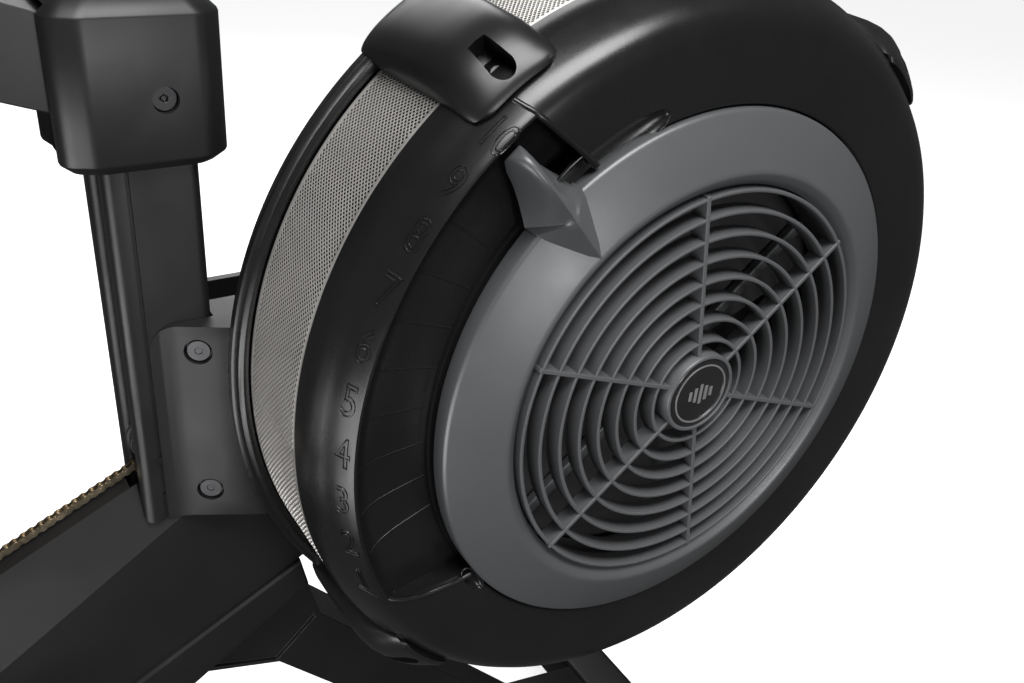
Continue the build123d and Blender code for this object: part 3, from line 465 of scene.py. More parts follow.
# distance out, half width, ridge, foot and how round the ridge is
pointerRows = [(240.4, 2.4, -185.6, -183.6, 2.4), (240, 3.8, -188, -182, 2.4), (238.8, 5, -190.6, -179, 2.4),
               (236.6, 5.9, -193, -176.4, 2.4), (233, 6.6, -195.2, -174.4, 2.3), (227, 7.6, -197.4, -171.6, 2.1),
               (218, 9, -199, -171, 1.7), (207, 12.4, -199.6, -171, 1.45),
               (197, 16.2, -199, -171, 1.3), (191.8, 18.4, -198.6, -171, 1.22), (190.9, 18.6, -198.5, -181.6, 1.2),
               (186, 16.6, -198.1, -184.3, 1.16), (178, 12.8, -197.5, -187.3, 1.13), (170, 8.8, -197, -190.3, 1.12),
               (162, 4.6, -196.5, -193.4, 1.12), (155.6, 0.8, -196, -195, 1.1)]
bm = bmesh.new()
grid = []
for radius, half, crest, foot, power in pointerRows:
    row = []
    for j in range(21):
        u = sin(pi / 2 * (j / 10 - 1))
        rise = (1 - abs(u) ** power) ** (0.8 if power > 2 else 1)
        y = foot + (crest - foot) * rise
        row.append(bm.verts.new(axle + outward * radius * mm + side * u * half * mm + Vector((0, y * mm, 0))))
    low = axle + outward * (radius - (0 if radius > 191 else 1)) * mm + Vector((0, (foot + 1) * mm, 0))
    row += [bm.verts.new(low + side * half * 0.96 * mm), bm.verts.new(low - side * half * 0.96 * mm)]
    grid.append(row)
n = len(grid[0])
for near, far in zip(grid, grid[1:]):
    for j in range(n):
        bm.faces.new((near[j], near[(j + 1) % n], far[(j + 1) % n], far[j]))
bm.faces.new(grid[0])
bm.faces.new(grid[-1])
bmesh.ops.triangulate(bm, faces=[f for f in bm.faces if len(f.verts) > 4])
finished("damperPointer", bm, "damperGrey", "damper_ring", "damper", stands=False, sharp=38)

# the grille
grilleShape = {"rings": 8, "first": 38.7, "spacing": 15.07, "blade": 2.5, "ribAngle": 39.2, "front": -195.2,
               "back": -181}
bm = bmesh.new()
for i in range(grilleShape["rings"]):
    r = grilleShape["first"] + grilleShape["spacing"] * i - (1.3 if i == grilleShape["rings"] - 1 else 0)
    h = grilleShape["blade"] / 2
    f = grilleShape["front"] + 0.6
    spinProfile(bm, [(r - h, grilleShape["back"]), (r - h, f + 0.4), (r - h * 0.6, f), (r + h * 0.6, f),
                     (r + h, f + 0.4), (r + h, grilleShape["back"])], 144)
spinProfile(bm, [(0.01, -184), (0.01, -194.6), (26.1, -194.6), (26.3, -197.2), (27, -197.8), (28.6, -197.6),
                 (29.2, -196.8), (29.2, -181), (26, -181), (26, -184)], 72)
finished("grilleRings", bm, "grilleGrey", "damper_grille", "damper", sharp=40)
bm = bmesh.new()
for i in range(6):
    angle = grilleShape["ribAngle"] + 60 * i
    turn = radians(angle)
    middle = around(87, angle, (grilleShape["front"] + grilleShape["back"]) / 2)
    axes = facing(middle, (cos(turn), 0, sin(turn)), (-sin(turn), 0, cos(turn)))
    addBox(bm, (116.5, 3.1, 13.4), axes)
finished("grilleRibs", bm, "grilleGrey", "damper_grille", "damper", stands=False, bevel=0.7)
# the fixed bar that bridges the opening behind the grille
bm = bmesh.new()
turn = radians(grilleShape["ribAngle"])
for s in (-1, 1):
    middle = around(s * 92, grilleShape["ribAngle"], -157.5)
    addBox(bm, (120, 9, 7), facing(middle, (cos(turn), 0, sin(turn)), (-sin(turn), 0, cos(turn))))
finished("bridgeBar", bm, "grilleGrey", "inlet_plate", stands=False, bevel=1.6)
bm = bmesh.new()
spinProfile(bm, [(0.01, -195.2), (0.01, -197.4), (24.6, -197.4), (25.8, -196.8), (25.8, -195.2)], 72)
finished("hubBadge", bm, "badgeBlack", "hub_badge", "damper")
bm = bmesh.new()
spinProfile(bm, [(21.2, -197.2), (21.2, -197.75), (22.4, -197.75), (22.4, -197.2)], 72)
for i in range(-2, 3):
    tall = 15 - 4 * abs(i)
    addBox(bm, (2.2, 0.6, tall), Matrix.Translation((axle.x + i * 4.6 * mm, -0.1975, axle.z)))
finished("badgeMark", bm, "badgeSilver", "hub_badge", "damper", stands=False)
print("damper done")

# the perforated band, one quarter at a time
bandShape = {"radius": 264.7, "near": -137.6, "far": -66.6, "cellsRound": 474, "web": 0.56, "thick": 0.5,
             "margin": 2.2}
quarter = radians(90)
pitch = quarter * bandShape["radius"] / (bandShape["cellsRound"] / 4)
cell = pitch / sqrt(2)
stripLong = quarter * bandShape["radius"]
stripWide = bandShape["far"] - bandShape["near"] - 2 * bandShape["margin"]
for q in range(4):
    bm = bmesh.new()
    across = stripWide + 2 * pitch
    count = int((stripLong + across) / sqrt(2) / cell) + 2
    bmesh.ops.create_grid(bm, x_segments=count, y_segments=count, size=count * cell / 2 * mm)
    bmesh.ops.transform(bm, verts=bm.verts, matrix=Matrix.Translation((stripLong / 2 * mm, 0, 0))
                        @ Matrix.Rotation(radians(45), 4, "Z"))
    # the lattice is moved so that a row of corners lies on the quarter's own edge
    offset = min((v.co.x for v in bm.verts if abs(v.co.y) < cell * 0.4 * mm), key=lambda x: abs(x))
    bmesh.ops.translate(bm, verts=bm.verts, vec=(-offset, 0, 0))
    for spot, normal in (((0, 0, 0), (-1, 0, 0)), ((stripLong * mm, 0, 0), (1, 0, 0)),
                         ((0, stripWide / 2 * mm, 0), (0, 1, 0)), ((0, -stripWide / 2 * mm, 0), (0, -1, 0))):
        bmesh.ops.bisect_plane(bm, geom=bm.verts[:] + bm.edges[:] + bm.faces[:], plane_co=spot, plane_no=normal,
                               clear_outer=True, dist=1e-7)
    whole = [f for f in bm.faces if f.calc_area() > cell * cell * mm * mm * 0.9]
    bmesh.ops.inset_individual(bm, faces=whole, thickness=bandShape["web"] * 0.5 * mm, use_even_offset=True)
    bmesh.ops.delete(bm, geom=whole, context="FACES")
    for v in bm.verts:
        angle = 90 * q + v.co.x / (bandShape["radius"] * mm) * perTurn
        v.co = around(bandShape["radius"], angle, (bandShape["near"] + bandShape["far"]) / 2 + v.co.y / mm)
    obj = finished("bandMesh" + str(q + 1), bm, "sheetSteel", "perforated_band", stands=q == 0, flip=False, sharp=60)
    bm = bmesh.new()
    bm.from_mesh(obj.data)
    inward = [f for f in bm.faces if f.normal.dot(f.calc_center_median() - axle) < 0]
    bmesh.ops.reverse_faces(bm, faces=inward)
    bm.to_mesh(obj.data)
    bm.free()
    obj.data.shade_smooth()
    thicken(obj, "sheet", bandShape["thick"], -1)
bm = bmesh.new()
for low, high in ((bandShape["near"], bandShape["near"] + bandShape["margin"]),
                  (bandShape["far"] - bandShape["margin"], bandShape["far"])):
    spinProfile(bm, [(264.1, low), (264.8, low), (264.8, high), (264.1, high)], 220)
finished("bandHems", bm, "sheetSteel", "perforated_band", stands=False)
print("band done")

# the far cover, the clamps and the disc inside


def soften(node, finish, body, width=1.0, segments=2, sharp=30, dissolve=3):
    # a copy of a CAD solid with its triangles merged and its edges rounded
    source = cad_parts[node]
    bm = bmesh.new()
    bm.from_mesh(source.data)
    bmesh.ops.remove_doubles(bm, verts=bm.verts, dist=2e-5)
    bmesh.ops.dissolve_limit(bm, angle_limit=radians(dissolve), verts=bm.verts, edges=bm.edges)
    name = "".join(w.capitalize() for w in node.split("_"))
    finished(name[0].lower() + name[1:] + "Piece", bm, finish, node, body, bevel=width, segments=segments,
             sharp=sharp)


bm = bmesh.new()
spinProfile(bm, [(277, -65.6), (275.8, -66.6), (273, -67.2), (272, -68.4), (270.5, -69.2), (269.2, -68.4),
                 (268.8, -66), (266, -65.4), (266, -61), (150, -61), (150, -57), (274, -57), (276, -57.8),
                 (277, -59.6)], housingShape["steps"])
finished("chainSideCover", bm, "caseBlack", "chain_side_cover")

clampShape = {"angles": (125.2, 223, 315, 48), "halfWidth": 33, "reach": 275, "slotHalf": 6.4, "slope": 38}
clampLine = [(276.6, -56.6), (281, -57.6), (284.2, -61), (285.6, -68), (286.2, -80), (286.4, -98), (286, -116),
             (285, -130), (283, -140), (279.6, -148.4), (275.4, -154.8), (271, -160), (267, -164.2),
             (263.8, -167.4), (261, -169.4),
             (259, -169.8)]
clampFloor = [(276.4, -57), (277.4, -58), (277.8, -60), (277.8, -65.8), (274, -67.6), (270.6, -69.6), (266.2, -70.4),
              (265.6, -80), (265.6, -100), (265.6, -128), (265.6, -137), (265.4, -144), (263.4, -152), (261, -158),
              (259, -162.4), (257.4, -165.4)]


def clampHalf(i):
    # half the lug's width, drawn in at both ends
    ends = min(1, (len(clampLine) - 1 - i) / 2.5)
    return clampShape["halfWidth"] * (0.8 + 0.2 * sqrt(1 - (1 - ends) ** 2)) * (1 if i > 2 else 0.94 + 0.03 * i)


def clampPoint(middle, i, across):
    # the lug's skin, domed across its width
    top = Vector(clampLine[i])
    low = Vector(clampFloor[i])
    lift = (1 - abs(across) ** 4.5) ** 0.5
    spot = low.lerp(top, lift)
    spot.x -= 1.6 * across * across * lift
    return around(spot.x, middle + across * clampHalf(i) / clampShape["reach"] * perTurn, spot.y)


for k, middle in enumerate(clampShape["angles"]):
    bm = bmesh.new()
    count = 28
    spans = [sin(pi / 2 * (2 * j / count - 1)) for j in range(count + 1)]
    grid = [[bm.verts.new(clampPoint(middle, i, t)) for t in spans] for i in range(len(clampLine))]
    under = [[bm.verts.new(around(low - 0.8, middle + t * clampHalf(i) / clampShape["reach"] * perTurn, y + 0.6))
              for t in (-1, 1)] for i, (low, y) in enumerate(clampFloor)]
    for i in range(len(clampLine) - 1):
        for j in range(count):
            bm.faces.new((grid[i][j], grid[i][j + 1], grid[i + 1][j + 1], grid[i + 1][j]))
        bm.faces.new((grid[i][0], grid[i + 1][0], under[i + 1][0], under[i][0]))
        bm.faces.new((grid[i][count], under[i][1], under[i + 1][1], grid[i + 1][count]))
        bm.faces.new((under[i][0], under[i + 1][0], under[i + 1][1], under[i][1]))
    for i in (0, len(clampLine) - 1):
        bm.faces.new(grid[i] + [under[i][1], under[i][0]])
    bmesh.ops.triangulate(bm, faces=[f for f in bm.faces if len(f.verts) > 4])
    lug = finished("coverClamp" + str(k + 1), bm, "lugBlack", "cover_clamps", stands=k == 0, sharp=48)
    # the D-shaped screw slot, flat towards the band
    turn = radians(middle)
    out = Vector((cos(turn), 0, sin(turn)))
    along = Vector((-sin(turn), 0, cos(turn)))
    slope = radians(clampShape["slope"])
    normal = out * cos(slope) + Vector((0, -1, 0)) * sin(slope)
    run = Vector((0, -1, 0)) * cos(slope) - out * sin(slope)
    outline = [(-12.5, -clampShape["slotHalf"] + 0.6), (-13, 0), (-12.5, clampShape["slotHalf"] - 0.6)]
    outline += [(6.5 + 8.4 * sin(radians(a)), 7.6 * cos(radians(a))) for a in range(0, 181, 12)]
    base = around(276.5, middle, -157) - normal * 19 * mm
    cutWith(lug, prism([base + run * x * mm + along * y * mm for x, y in outline], normal * 40 * mm))
    # its screw
    bm = bmesh.new()
    seat = base + run * 4 * mm + normal * 3 * mm
    axes = Matrix.Translation(seat) @ normal.to_track_quat("Z", "Y").to_matrix().to_4x4()
    addRod(bm, 4.6, 3, axes)
    finished("clampScrew" + str(k + 1), bm, "lugBlack", "case_screws", stands=False, bevel=0.8)

bm = bmesh.new()
spinProfile(bm, [(8.2, -76.5), (8.2, -127.5), (9, -128), (22.5, -128), (24, -126.5), (24, -101), (27, -98.2),
                 (188.5, -98), (190, -96.5), (190, -85.5), (188.5, -84), (27, -84), (24, -81), (24, -77),
                 (22.5, -76)], 128)
finished("flywheelDisc", bm, "darkSteel", "flywheel_disc", "flywheel")
soften("fan_blades", "bladeBlack", "flywheel", 0.4, 1)
soften("axle", "brightSteel", "flywheel", 0.6)
soften("inlet_plate", "bladeBlack", "frame", 0.4, 1)
print("case done")

# post, socket, bracket and neck
socketShape = {"corner": 15, "pivot": (680, 781), "middle": 670, "slotRadius": 26.5}
plan = [(623, -33), (640, -40), (703, -38), (717, -28), (717, 28), (703, 38), (640, 40), (623, 33)]


def roundedPlan(points, radius, steps=7):
    # rounds every corner of a flat outline with one arc
    result = []
    n = len(points)
    for i in range(n):
        p = Vector(points[i])
        a = Vector(points[i - 1]) - p
        b = Vector(points[(i + 1) % n]) - p
        half = a.angle(b) / 2
        back = min(radius / tan(half), a.length * 0.46, b.length * 0.46)
        start = p + a.normalized() * back
        end = p + b.normalized() * back
        for k in range(steps + 1):
            t = k / steps
            result.append(start.lerp(p, t).lerp(p.lerp(end, t), t))
    return result


smoothPlan = roundedPlan(plan, socketShape["corner"])
bm = bmesh.new()
middlePlan = Vector((socketShape["middle"], 0))
levels = [(741, 6), (742, 5), (746.2, 0.5), (747.5, 0), (825, 0), (826.6, 0.6), (834, 8), (835, 9.4)]
loops = []
for z, inset in levels:
    ring = []
    for p in smoothPlan:
        away = p - middlePlan
        q = Vector((middlePlan.x + away.x * (1 - inset / 47), away.y * (1 - inset / 40)))
        ring.append(bm.verts.new((q.x * mm, q.y * mm, z * mm)))
    loops.append(ring)
n = len(smoothPlan)
for low, high in zip(loops, loops[1:]):
    for j in range(n):
        bm.faces.new((low[j], low[(j + 1) % n], high[(j + 1) % n], high[j]))
bm.faces.new(loops[0])
bm.faces.new(loops[-1])
socket = finished("armSocket", bm, "neckBlack", "arm_socket", sharp=28)
px, pz = socketShape["pivot"]
low, high = radians(14), radians(21.7)
slot = socketShape["slotRadius"]
outline = [(px - slot * sin(low), pz - slot * cos(low)), (600, pz - slot / cos(low) - 80 * tan(low)),
           (600, pz + slot / cos(high) + 80 * tan(high))]
outline += [(px + slot * cos(a), pz + slot * sin(a)) for a in np.linspace(pi / 2 - high, -pi / 2 - low, 20)][:-1]
cutWith(socket, prism([(x * mm, -0.023, z * mm) for x, z in outline], (0, 0.046, 0)))
for y in (-37, 37):
    bm = bmesh.new()
    addRod(bm, 7.5, 14, placed(px, y, pz), sides=40)
    cutWith(socket, bm)
soften("socket_bolt", "darkSteel", "frame", 0.7)
for node in ("upright_near", "upright_far"):
    soften(node, "frameBlack", "frame", 0.8)
bracketShape = {"low": 492, "high": 640, "corner": 17, "screws": (514, 622)}
bracketPlan = [(657, -31.3), (664, -32.4), (672, -35.4), (715, -57), (1008, -57), (1008, -9), (698.3, -9),
               (698.3, -31.3)]
bm = prism([(x * mm, y * mm, bracketShape["low"] * mm) for x, y in bracketPlan],
           (0, 0, (bracketShape["high"] - bracketShape["low"]) * mm))
addBox(bm, (300, 28, 3), Matrix.Translation((0.8485, 0.0045, 0.6385)))
bracket = finished("axleBracket", bm, "neckBlack", "axle_bracket")
# the rounded rear corner
corner = bracketShape["corner"]
outline = [(640, 660), (657 + corner, 660)]
outline += [(657 + corner * (1 - sin(radians(a))), 640 - corner * (1 - cos(radians(a)))) for a in range(0, 91, 9)]
outline.append((640, 640 - corner))
cutWith(bracket, prism([(x * mm, -0.07, z * mm) for x, z in outline], (0, 0.06, 0)))
slant = Vector((-21.6, -43, 0)).normalized()
for k, height in enumerate(bracketShape["screws"]):
    spot = Vector((0.684, -0.04143, height * mm))
    turned = Matrix.Translation(spot) @ slant.to_track_quat("Z", "Y").to_matrix().to_4x4()
    bm = bmesh.new()
    addRod(bm, 8.2, 9, turned, sides=48, far=9.6)
    cutWith(bracket, bm)
    bm = bmesh.new()
    addRod(bm, 7.2, 3, turned @ Matrix.Translation((0, 0, -0.0031)), sides=40)
    screw = finished("bracketScrew" + str(k + 1), bm, "darkSteel", "case_screws", stands=k == 0, bevel=0)
    bm = bmesh.new()
    addRod(bm, 2.6, 5, turned @ Matrix.Translation((0, 0, 0.0004)), sides=6)
    cutWith(screw, bm)
    roundEdges(screw, 0.7, 2, harden=False)
roundEdges(bracket, 1.2, 3)
soften("axle_bracket_far", "neckBlack", "frame", 0.8)
soften("neck_shell", "neckBlack", "frame", 1.2, 3, sharp=14)
# node, finish, body, edge radius and its segments
edged = [
    ("neck_main_tube", "frameBlack", "frame", 0.6, 2),
    ("handle_hook", "moulded", "frame", 1.0, 2),
    ("front_leg", "frameBlack", "frame", 1.6, 3),
    ("front_foot_bar", "frameBlack", "frame", 1.0, 2),
    ("rear_leg", "frameBlack", "frame", 1.6, 3),
    ("rear_foot_bar", "frameBlack", "frame", 1.0, 2),
    ("rubber_feet", "rubberBlack", "frame", 2.0, 3),
    ("foot_frame", "frameBlack", "frame", 0.6, 2),
    ("monorail", "railAluminium", "frame", 0.8, 2),
    ("rail_tracks", "brightSteel", "frame", 0.3, 2),
    ("rail_stops", "rubberBlack", "frame", 2.0, 3),
]
for side in ("near", "far"):
    edged += [
        ("footboard_" + side, "moulded", "frame", 1.2, 2),
        ("heel_cup_" + side, "cupGrey", "cup_" + side, 0.8, 2),
        ("transport_wheel_" + side, "rubberBlack", "wheel_" + side, 1.2, 3),
    ]
edged += [
    ("seat_shell", "moulded", "seat", 1.6, 3),
    ("seat_carriage", "darkSteel", "seat", 0.5, 1),
    ("seat_rollers_front", "nylonWhite", "front_rollers", 0.8, 2),
    ("seat_rollers_rear", "nylonWhite", "rear_rollers", 0.8, 2),
    ("seat_guide_roller_near", "nylonWhite", "guide_roller_near", 0.8, 2),
    ("seat_guide_roller_far", "nylonWhite", "guide_roller_far", 0.8, 2),
    ("guide_roller_lower", "moulded", "lower_guide", 0.5, 2),
    ("guide_roller_upper", "moulded", "upper_guide", 0.5, 2),
    ("handle_yoke", "darkSteel", "handle", 0.8, 2),
    ("handle_bar", "darkSteel", "handle", 0.8, 2),
]
for node, finish, body, width, segments in edged:
    soften(node, finish, body, width, segments)
for node, finish in (("roller_pins", "darkSteel"), ("axle_bearings", "brightSteel"), ("sprocket", "darkSteel"),
                     ("shock_cord", "rubberBlack")):
    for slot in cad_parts[node].material_slots:
        slot.link = "OBJECT"
        slot.material = finishes[finish]
print("frame parts done")

# chains
chainShape = {"pitch": 6.35, "roller": 1.65, "plate": 0.55, "inner": 1.35, "outer": 2.05, "waist": 2.0, "eye": 2.75}


def linkPlates(bm, a, b, side, y, up):
    # one figure-eight plate between two pins
    along = (b - a).normalized()
    length = (b - a).length / mm
    eye, waist = chainShape["eye"], chainShape["waist"]
    outline = [(length / 2, -waist)]
    outline += [(length + eye * cos(t), eye * sin(t)) for t in np.linspace(-1.9, 1.9, 7)]
    outline += [(length / 2, waist)]
    outline += [(eye * cos(t), eye * sin(t)) for t in np.linspace(pi - 1.9, pi + 1.9, 7)]
    faces = []
    for thick in (0, chainShape["plate"]):
        shift = Vector((0, side * (y + thick) * mm, 0))
        ring = [bm.verts.new(a + along * x * mm + up * z * mm + shift) for x, z in outline]
        faces.append(ring)
        bm.faces.new(ring)
    n = len(outline)
    for j in range(n):
        bm.faces.new((faces[0][j], faces[0][(j + 1) % n], faces[1][(j + 1) % n], faces[1][j]))


def addLink(bm, a, b, odd, up):
    for side in (-1, 1):
        linkPlates(bm, a, b, side, chainShape["inner"] if odd else chainShape["outer"], up)
    addRod(bm, chainShape["roller"], 2 * chainShape["inner"], Matrix.Translation(a) @ placed(0, 0, 0), sides=10)
    if not odd:
        length = 2 * (chainShape["outer"] + chainShape["plate"] + 0.25)
        for end in (a, b):
            addRod(bm, 0.9, length, Matrix.Translation(end) @ placed(0, 0, 0), sides=8)


def layChain(bm, spots):
    for k in range(len(spots) - 1):
        along = (spots[k + 1] - spots[k]).normalized()
        addLink(bm, spots[k], spots[k + 1], k % 2, along.cross(yDir))


def spread(points, pitch):
    # evenly spaced pins along a line of straight runs and arcs
    lengths = [0]
    for p, q in zip(points, points[1:]):
        lengths.append(lengths[-1] + (q - p).length)
    count = max(1, round(lengths[-1] / pitch))
    result = []
    for k in range(count + 1):
        want = lengths[-1] * k / count
        i = min(max(0, sum(1 for length in lengths if length <= want) - 1), len(points) - 2)
        t = (want - lengths[i]) / (lengths[i + 1] - lengths[i])
        result.append(points[i].lerp(points[i + 1], t))
    return result


pin = Vector((0.524, 0, 0.4636))
rise = radians(25.2)
leadRun = Vector((cos(rise), 0, sin(rise)))
bm = bmesh.new()
layChain(bm, [pin + leadRun * chainShape["pitch"] * mm * k for k in range(22)])
finished("leadChain", bm, "chainNickel", "lead_chain", "chain_lead", sharp=40)
# inside the case: over the lower roller, round the sprocket and back into the neck
sprocketArc = [Vector((axle.x + 0.028 * cos(a), 0, axle.z + 0.028 * sin(a)))
               for a in np.linspace(radians(97), radians(-92), 20)]
upperRun = [Vector((0.6604, 0, 0.5249))] + sprocketArc + [Vector((0.741, 0, 0.4812))]
bm = bmesh.new()
layChain(bm, spread(upperRun, chainShape["pitch"] * mm))
finished("driveChain", bm, "chainNickel", "drive_chain", sharp=40)
print("chains done")

# seat pad
seatShape = {"height": 26, "dish": 7, "channel": 6, "cells": 46}
padLow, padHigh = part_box("seat_pad")
bm = bmesh.new()
count = seatShape["cells"]
halfX, halfY = (padHigh.x - padLow.x) / 2, (padHigh.y - padLow.y) / 2
midX = (padHigh.x + padLow.x) / 2
top = []
for i in range(count + 1):
    row = []
    for j in range(count + 1):
        u = sin(pi / 2 * (2 * i / count - 1))
        v = sin(pi / 2 * (2 * j / count - 1))
        # the square grid is drawn to a rounded outline
        x = u * (1 - 0.30 * v * v * abs(v) ** 1.5)
        y = v * (1 - 0.24 * u * u * abs(u) ** 1.5)
        edge = max(abs(u), abs(v))
        fall = (1 - edge ** 7) ** 0.6
        hollow = sum(2.718 ** (-((x - 0.12) / 0.42) ** 2 - ((y - s * 0.42) / 0.34) ** 2) for s in (-1, 1))
        channel = 2.718 ** (-(y / 0.10) ** 2) * max(0, min(1, (x + 0.9) * 0.9))
        nose = 0.35 * max(0, -x - 0.5)
        height = seatShape["height"] - seatShape["dish"] * hollow - 8 * nose
        height -= seatShape["channel"] * channel * (1 if x < 0.75 else 0.4)
        z = padLow.z + mm * (3 + (height - 3) * fall)
        row.append(bm.verts.new((midX + x * halfX, y * halfY, z)))
    top.append(row)
for i in range(count):
    for j in range(count):
        bm.faces.new((top[i][j], top[i][j + 1], top[i + 1][j + 1], top[i + 1][j]))
rim = [e for e in bm.edges if e.is_boundary]
grown = bmesh.ops.extrude_edge_only(bm, edges=rim)
skirt = [g for g in grown["geom"] if isinstance(g, bmesh.types.BMVert)]
for v in skirt:
    v.co = Vector((midX + (v.co.x - midX) * 0.985, v.co.y * 0.985, padLow.z))
bmesh.ops.contextual_create(bm, geom=[g for g in grown["geom"] if isinstance(g, bmesh.types.BMEdge)])
pad = finished("seatCushion", bm, "seatFoam", "seat_pad", "seat", sharp=60)
mod = pad.modifiers.new("smooth", "SUBSURF")
mod.levels = 1
mod.render_levels = 1
print("seat done")

# footboard straps, with buckles
strapShape = {"width": 30, "thick": 2, "along": 58, "halfSpan": 53.4, "tall": 79.3, "top": 67.3}
strapColumns = (-1, -0.9, 0, 0.9, 1)
lean = radians(45)
boardX, boardZ = 540 - 150 * cos(lean), 395 - 150 * sin(lean)
boardRun = Vector((cos(lean), 0, sin(lean)))
boardUp = Vector((-sin(lean), 0, cos(lean)))
for k, side in enumerate((-1, 1)):
    base = Vector((boardX * mm, side * 0.112, boardZ * mm)) + boardRun * strapShape["along"] * mm
    # the arch is the arc through the board's two edges and its top
    chord, tall = strapShape["halfSpan"], strapShape["tall"]
    radius = (chord * chord + tall * tall) / (2 * tall)
    centre = strapShape["top"] - radius
    reach = atan2(strapShape["top"] - tall - centre, chord)
    angles = np.linspace(reach, pi - reach, 49)
    bm = bmesh.new()
    uv = bm.loops.layers.uv.new("weave")
    rows = []
    for a in angles:
        row = []
        for w in strapColumns:
            bend = radius - (0.5 if abs(w) == 1 else 0)
            spot = base + yDir * bend * cos(a) * mm + boardUp * (centre + bend * sin(a)) * mm
            row.append(bm.verts.new(spot + boardRun * w * strapShape["width"] / 2 * mm))
        rows.append(row)
    for i in range(len(rows) - 1):
        for j in range(4):
            face = bm.faces.new((rows[i][j], rows[i][j + 1], rows[i + 1][j + 1], rows[i + 1][j]))
            along = radius * (angles[-1] - angles[0]) / (len(rows) - 1) * mm
            places = ((j, i), (j + 1, i), (j + 1, i + 1), (j, i + 1))
            for loop, (jj, ii) in zip(face.loops, places):
                loop[uv].uv = (strapColumns[jj] * strapShape["width"] / 2 * mm, ii * along)
    strap = finished("footStrap" + str(k + 1), bm, "webbing", "foot_straps", stands=k == 0, sharp=60)
    thicken(strap, "cloth", strapShape["thick"], 0)
    # a cam buckle on the outer side of the strap
    bm = bmesh.new()
    a = reach + 0.62 if side > 0 else pi - reach - 0.62
    spot = base + yDir * (radius + 3) * cos(a) * mm + boardUp * (centre + (radius + 3) * sin(a)) * mm
    axes = facing(spot, boardRun, yDir * -sin(a) + boardUp * cos(a))
    addBox(bm, (38, 5, 3), axes @ Matrix.Translation((0, 0.012, 0)))
    addBox(bm, (38, 5, 3), axes @ Matrix.Translation((0, -0.012, 0)))
    for s in (-1, 1):
        addBox(bm, (4, 29, 4), axes @ Matrix.Translation((s * 0.0185, 0, 0)))
    addRod(bm, 1.8, 36, axes @ placed(0, 0, 0.4, "X"), sides=12)
    finished("strapBuckle" + str(k + 1), bm, "moulded", "foot_straps", stands=False, bevel=0.8)
print("straps done")

# handle grips
gripShape = {"length": 176, "ribs": 26, "bend": 10, "valley": 15.6, "crest": 16.4}
for k, side in enumerate((-1, 1)):
    bm = bmesh.new()
    half = gripShape["length"] / 2
    step = (gripShape["length"] - 24) / gripShape["ribs"]
    line = [(9.1, -half), (14.6, -half), (16.4, -half + 1.6), (17, -half + 4), (16.6, -half + 9)]
    for i in range(gripShape["ribs"]):
        y = -half + 12 + i * step
        swell = 0.35 * cos(y / half * 3.0)
        valley, crest = gripShape["valley"] + swell, gripShape["crest"] + swell
        line += [(valley, y), (crest, y + step * 0.2), (crest, y + step * 0.62), (valley, y + step * 0.8)]
    line += [(16.6, half - 9), (17, half - 4), (16.4, half - 1.6), (14.6, half), (9.1, half)]
    bend = radians(gripShape["bend"])
    axes = facing(Vector((0.4847, side * 0.150, 0.464)), (cos(bend), side * sin(bend), 0),
                  (-sin(bend), side * cos(bend), 0))
    verts = [bm.verts.new(axes @ Vector((r * mm, y * mm, 0))) for r, y in line]
    edges = [bm.edges.new((verts[i], verts[(i + 1) % len(verts)])) for i in range(len(verts))]
    bmesh.ops.spin(bm, geom=verts + edges, cent=axes.translation, axis=axes.col[1].xyz, angle=2 * pi, steps=48,
                   use_merge=True)
    finished("handleGrip" + str(k + 1), bm, "foamBlack", "handle_grips", "handle", stands=k == 0, sharp=50)

# console
displayShape = {"middle": 14, "ink": 0.1, "rule": 0.8, "bars": 16, "barStep": 6.4, "barWide": 3.6}
soften("console_arm", "frameBlack", "arm", 2.0, 3)
soften("console_housing", "consoleShell", "console", 2.2, 3)
soften("console_screen", "displayGreen", "console", 0.4, 1)
soften("console_button_left", "buttonGrey", "button_left", 0.5, 2)
soften("console_button_right", "buttonGrey", "button_right", 0.5, 2)
tip = radians(25)
faceUp = Vector((sin(tip), 0, cos(tip)))
faceOut = Vector((-cos(tip), 0, sin(tip)))
hinge = Vector((0.2575, 0, 0.924))


def onFace(x, y, out):
    return hinge + Vector((0, -1, 0)) * x * mm + faceUp * y * mm + faceOut * out * mm


glass = max((v.co - hinge).dot(faceOut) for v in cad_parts["console_screen"].data.vertices) / mm + 0.06


def mark(bm, x, y, wide, tall):
    # a flat mark just over the glass
    addBox(bm, (wide, tall, displayShape["ink"]), facing(onFace(x, y, glass), (0, -1, 0), faceUp))


bm = bmesh.new()
for x, up, wide in ((-30, 26, 46), (0, -4, 106), (0, -22, 106), (0, 33, 106)):
    mark(bm, x, displayShape["middle"] + up, wide, displayShape["rule"])
for i in range(displayShape["bars"]):
    tall = 4 + 9 * abs(sin(i * 0.7 + 0.6))
    mark(bm, -48 + i * displayShape["barStep"], displayShape["middle"] - 20 + tall / 2, displayShape["barWide"], tall)
finished("displayMarks", bm, "inkBlack", "console_screen", "console", stands=False)


def segmentDigit(bm, digit, x, y, tall):
    # seven-segment numeral
    wide = tall * 0.5
    lit = {"0": "abcdef", "1": "bc", "2": "abged", "3": "abgcd", "4": "fgbc", "5": "afgcd", "6": "afgedc", "7": "abc",
           "8": "abcdefg", "9": "abcdfg"}[digit]
    bars = {"a": (0, tall / 2, 1), "g": (0, 0, 1), "d": (0, -tall / 2, 1), "f": (-wide / 2, tall / 4, 0),
            "b": (wide / 2, tall / 4, 0), "e": (-wide / 2, -tall / 4, 0), "c": (wide / 2, -tall / 4, 0)}
    for name in lit:
        bx, by, flat = bars[name]
        size = (wide * 0.84, tall * 0.11) if flat else (tall * 0.11, tall * 0.42)
        mark(bm, x + bx, y + by, *size)


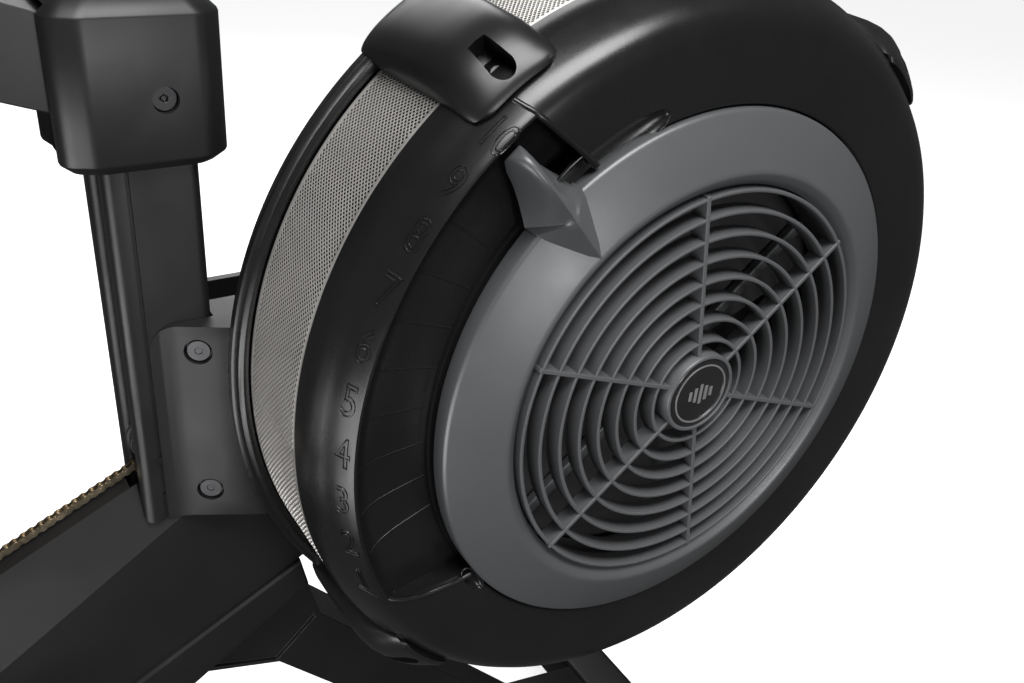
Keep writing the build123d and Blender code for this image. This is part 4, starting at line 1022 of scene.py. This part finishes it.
bm = bmesh.new()
for i, digit in enumerate("2034"):
    segmentDigit(bm, digit, -44 + i * 12 + (4 if i > 1 else 0), 41, 11)
for i, digit in enumerate("158"):
    segmentDigit(bm, digit, 22 + i * 13, 23, 13)
for i, digit in enumerate("4960"):
    segmentDigit(bm, digit, -42 + i * 11, 22, 10)
finished("displayDigits", bm, "inkBlack", "console_screen", "console", stands=False)
print("console done")

# studio
studio = {"top": 70, "front": 20, "low": 12, "back": 30, "worldLight": 0.085, "pale": (0.93, 0.93, 0.93), "glow": 0.8}
floorMesh = bpy.data.meshes.new("studioFloor")
bm = bmesh.new()
bmesh.ops.create_grid(bm, x_segments=1, y_segments=1, size=9)
bm.to_mesh(floorMesh)
bm.free()
floor = inScene("studioFloor", floorMesh)
paper = bpy.data.materials.new("paper")
paper.use_nodes = True
paperInputs = paper.node_tree.nodes["Principled BSDF"].inputs
paperInputs["Base Color"].default_value = (*studio["pale"], 1)
paperInputs["Roughness"].default_value = 0.95
paperInputs["Emission Color"].default_value = (1, 1, 1, 1)
paperInputs["Emission Strength"].default_value = studio["glow"]
floorMesh.materials.append(paper)
floor.visible_glossy = False
floor.visible_diffuse = False

world = bpy.data.worlds.new("studio")
world.use_nodes = True
worldNodes = world.node_tree.nodes
worldLinks = world.node_tree.links
dim = worldNodes["Background"]
dim.inputs["Color"].default_value = (1, 1, 1, 1)
dim.inputs["Strength"].default_value = studio["worldLight"]
bright = worldNodes.new("ShaderNodeBackground")
bright.inputs["Strength"].default_value = 1.0
path = worldNodes.new("ShaderNodeLightPath")
mixer = worldNodes.new("ShaderNodeMixShader")
worldLinks.new(path.outputs["Is Camera Ray"], mixer.inputs["Fac"])
worldLinks.new(dim.outputs["Background"], mixer.inputs[1])
worldLinks.new(bright.outputs["Background"], mixer.inputs[2])
worldLinks.new(mixer.outputs["Shader"], worldNodes["World Output"].inputs["Surface"])
bpy.context.scene.world = world


def softLight(name, power, size, spot, target, tall=None):
    data = bpy.data.lights.new(name, "AREA")
    data.energy = power
    data.shape = "RECTANGLE"
    data.size = size
    data.size_y = tall or size
    lamp = inScene(name, data)
    away = Vector(spot) - Vector(target)
    lamp.matrix_world = Matrix.Translation(spot) @ away.to_track_quat("Z", "Y").to_matrix().to_4x4()
    lamp.visible_camera = False


softLight("topLight", studio["top"], 1.5, (0.75, -0.95, 2.5), (0.9, -0.1, 0.6), 0.8)
softLight("frontLight", studio["front"], 0.5, (0.98, -2.4, 0.85), (0.95, 0, 0.62), 0.9)
softLight("lowLight", studio["low"], 0.9, (-0.1, -0.5, 0.12), (0.8, -0.1, 0.6), 0.6)
softLight("backLight", studio["back"], 1.6, (1.6, 2.2, 2.2), (0.8, 0, 0.6))

bpy.context.scene.view_settings.view_transform = "Standard"
camData = bpy.data.cameras.new("camera")
camData.lens = 33.94
camData.sensor_width = 36
camData.clip_start = 0.01
camera = inScene("camera", camData)
camera.matrix_world = Matrix(((0.83585, 0.20762, -0.50817, 0.5420), (-0.54334, 0.44494, -0.71191, -0.5773),
                              (0.07830, 0.87116, 0.48471, 0.9373), (0, 0, 0, 1)))
bpy.context.scene.camera = camera

print("scene done")
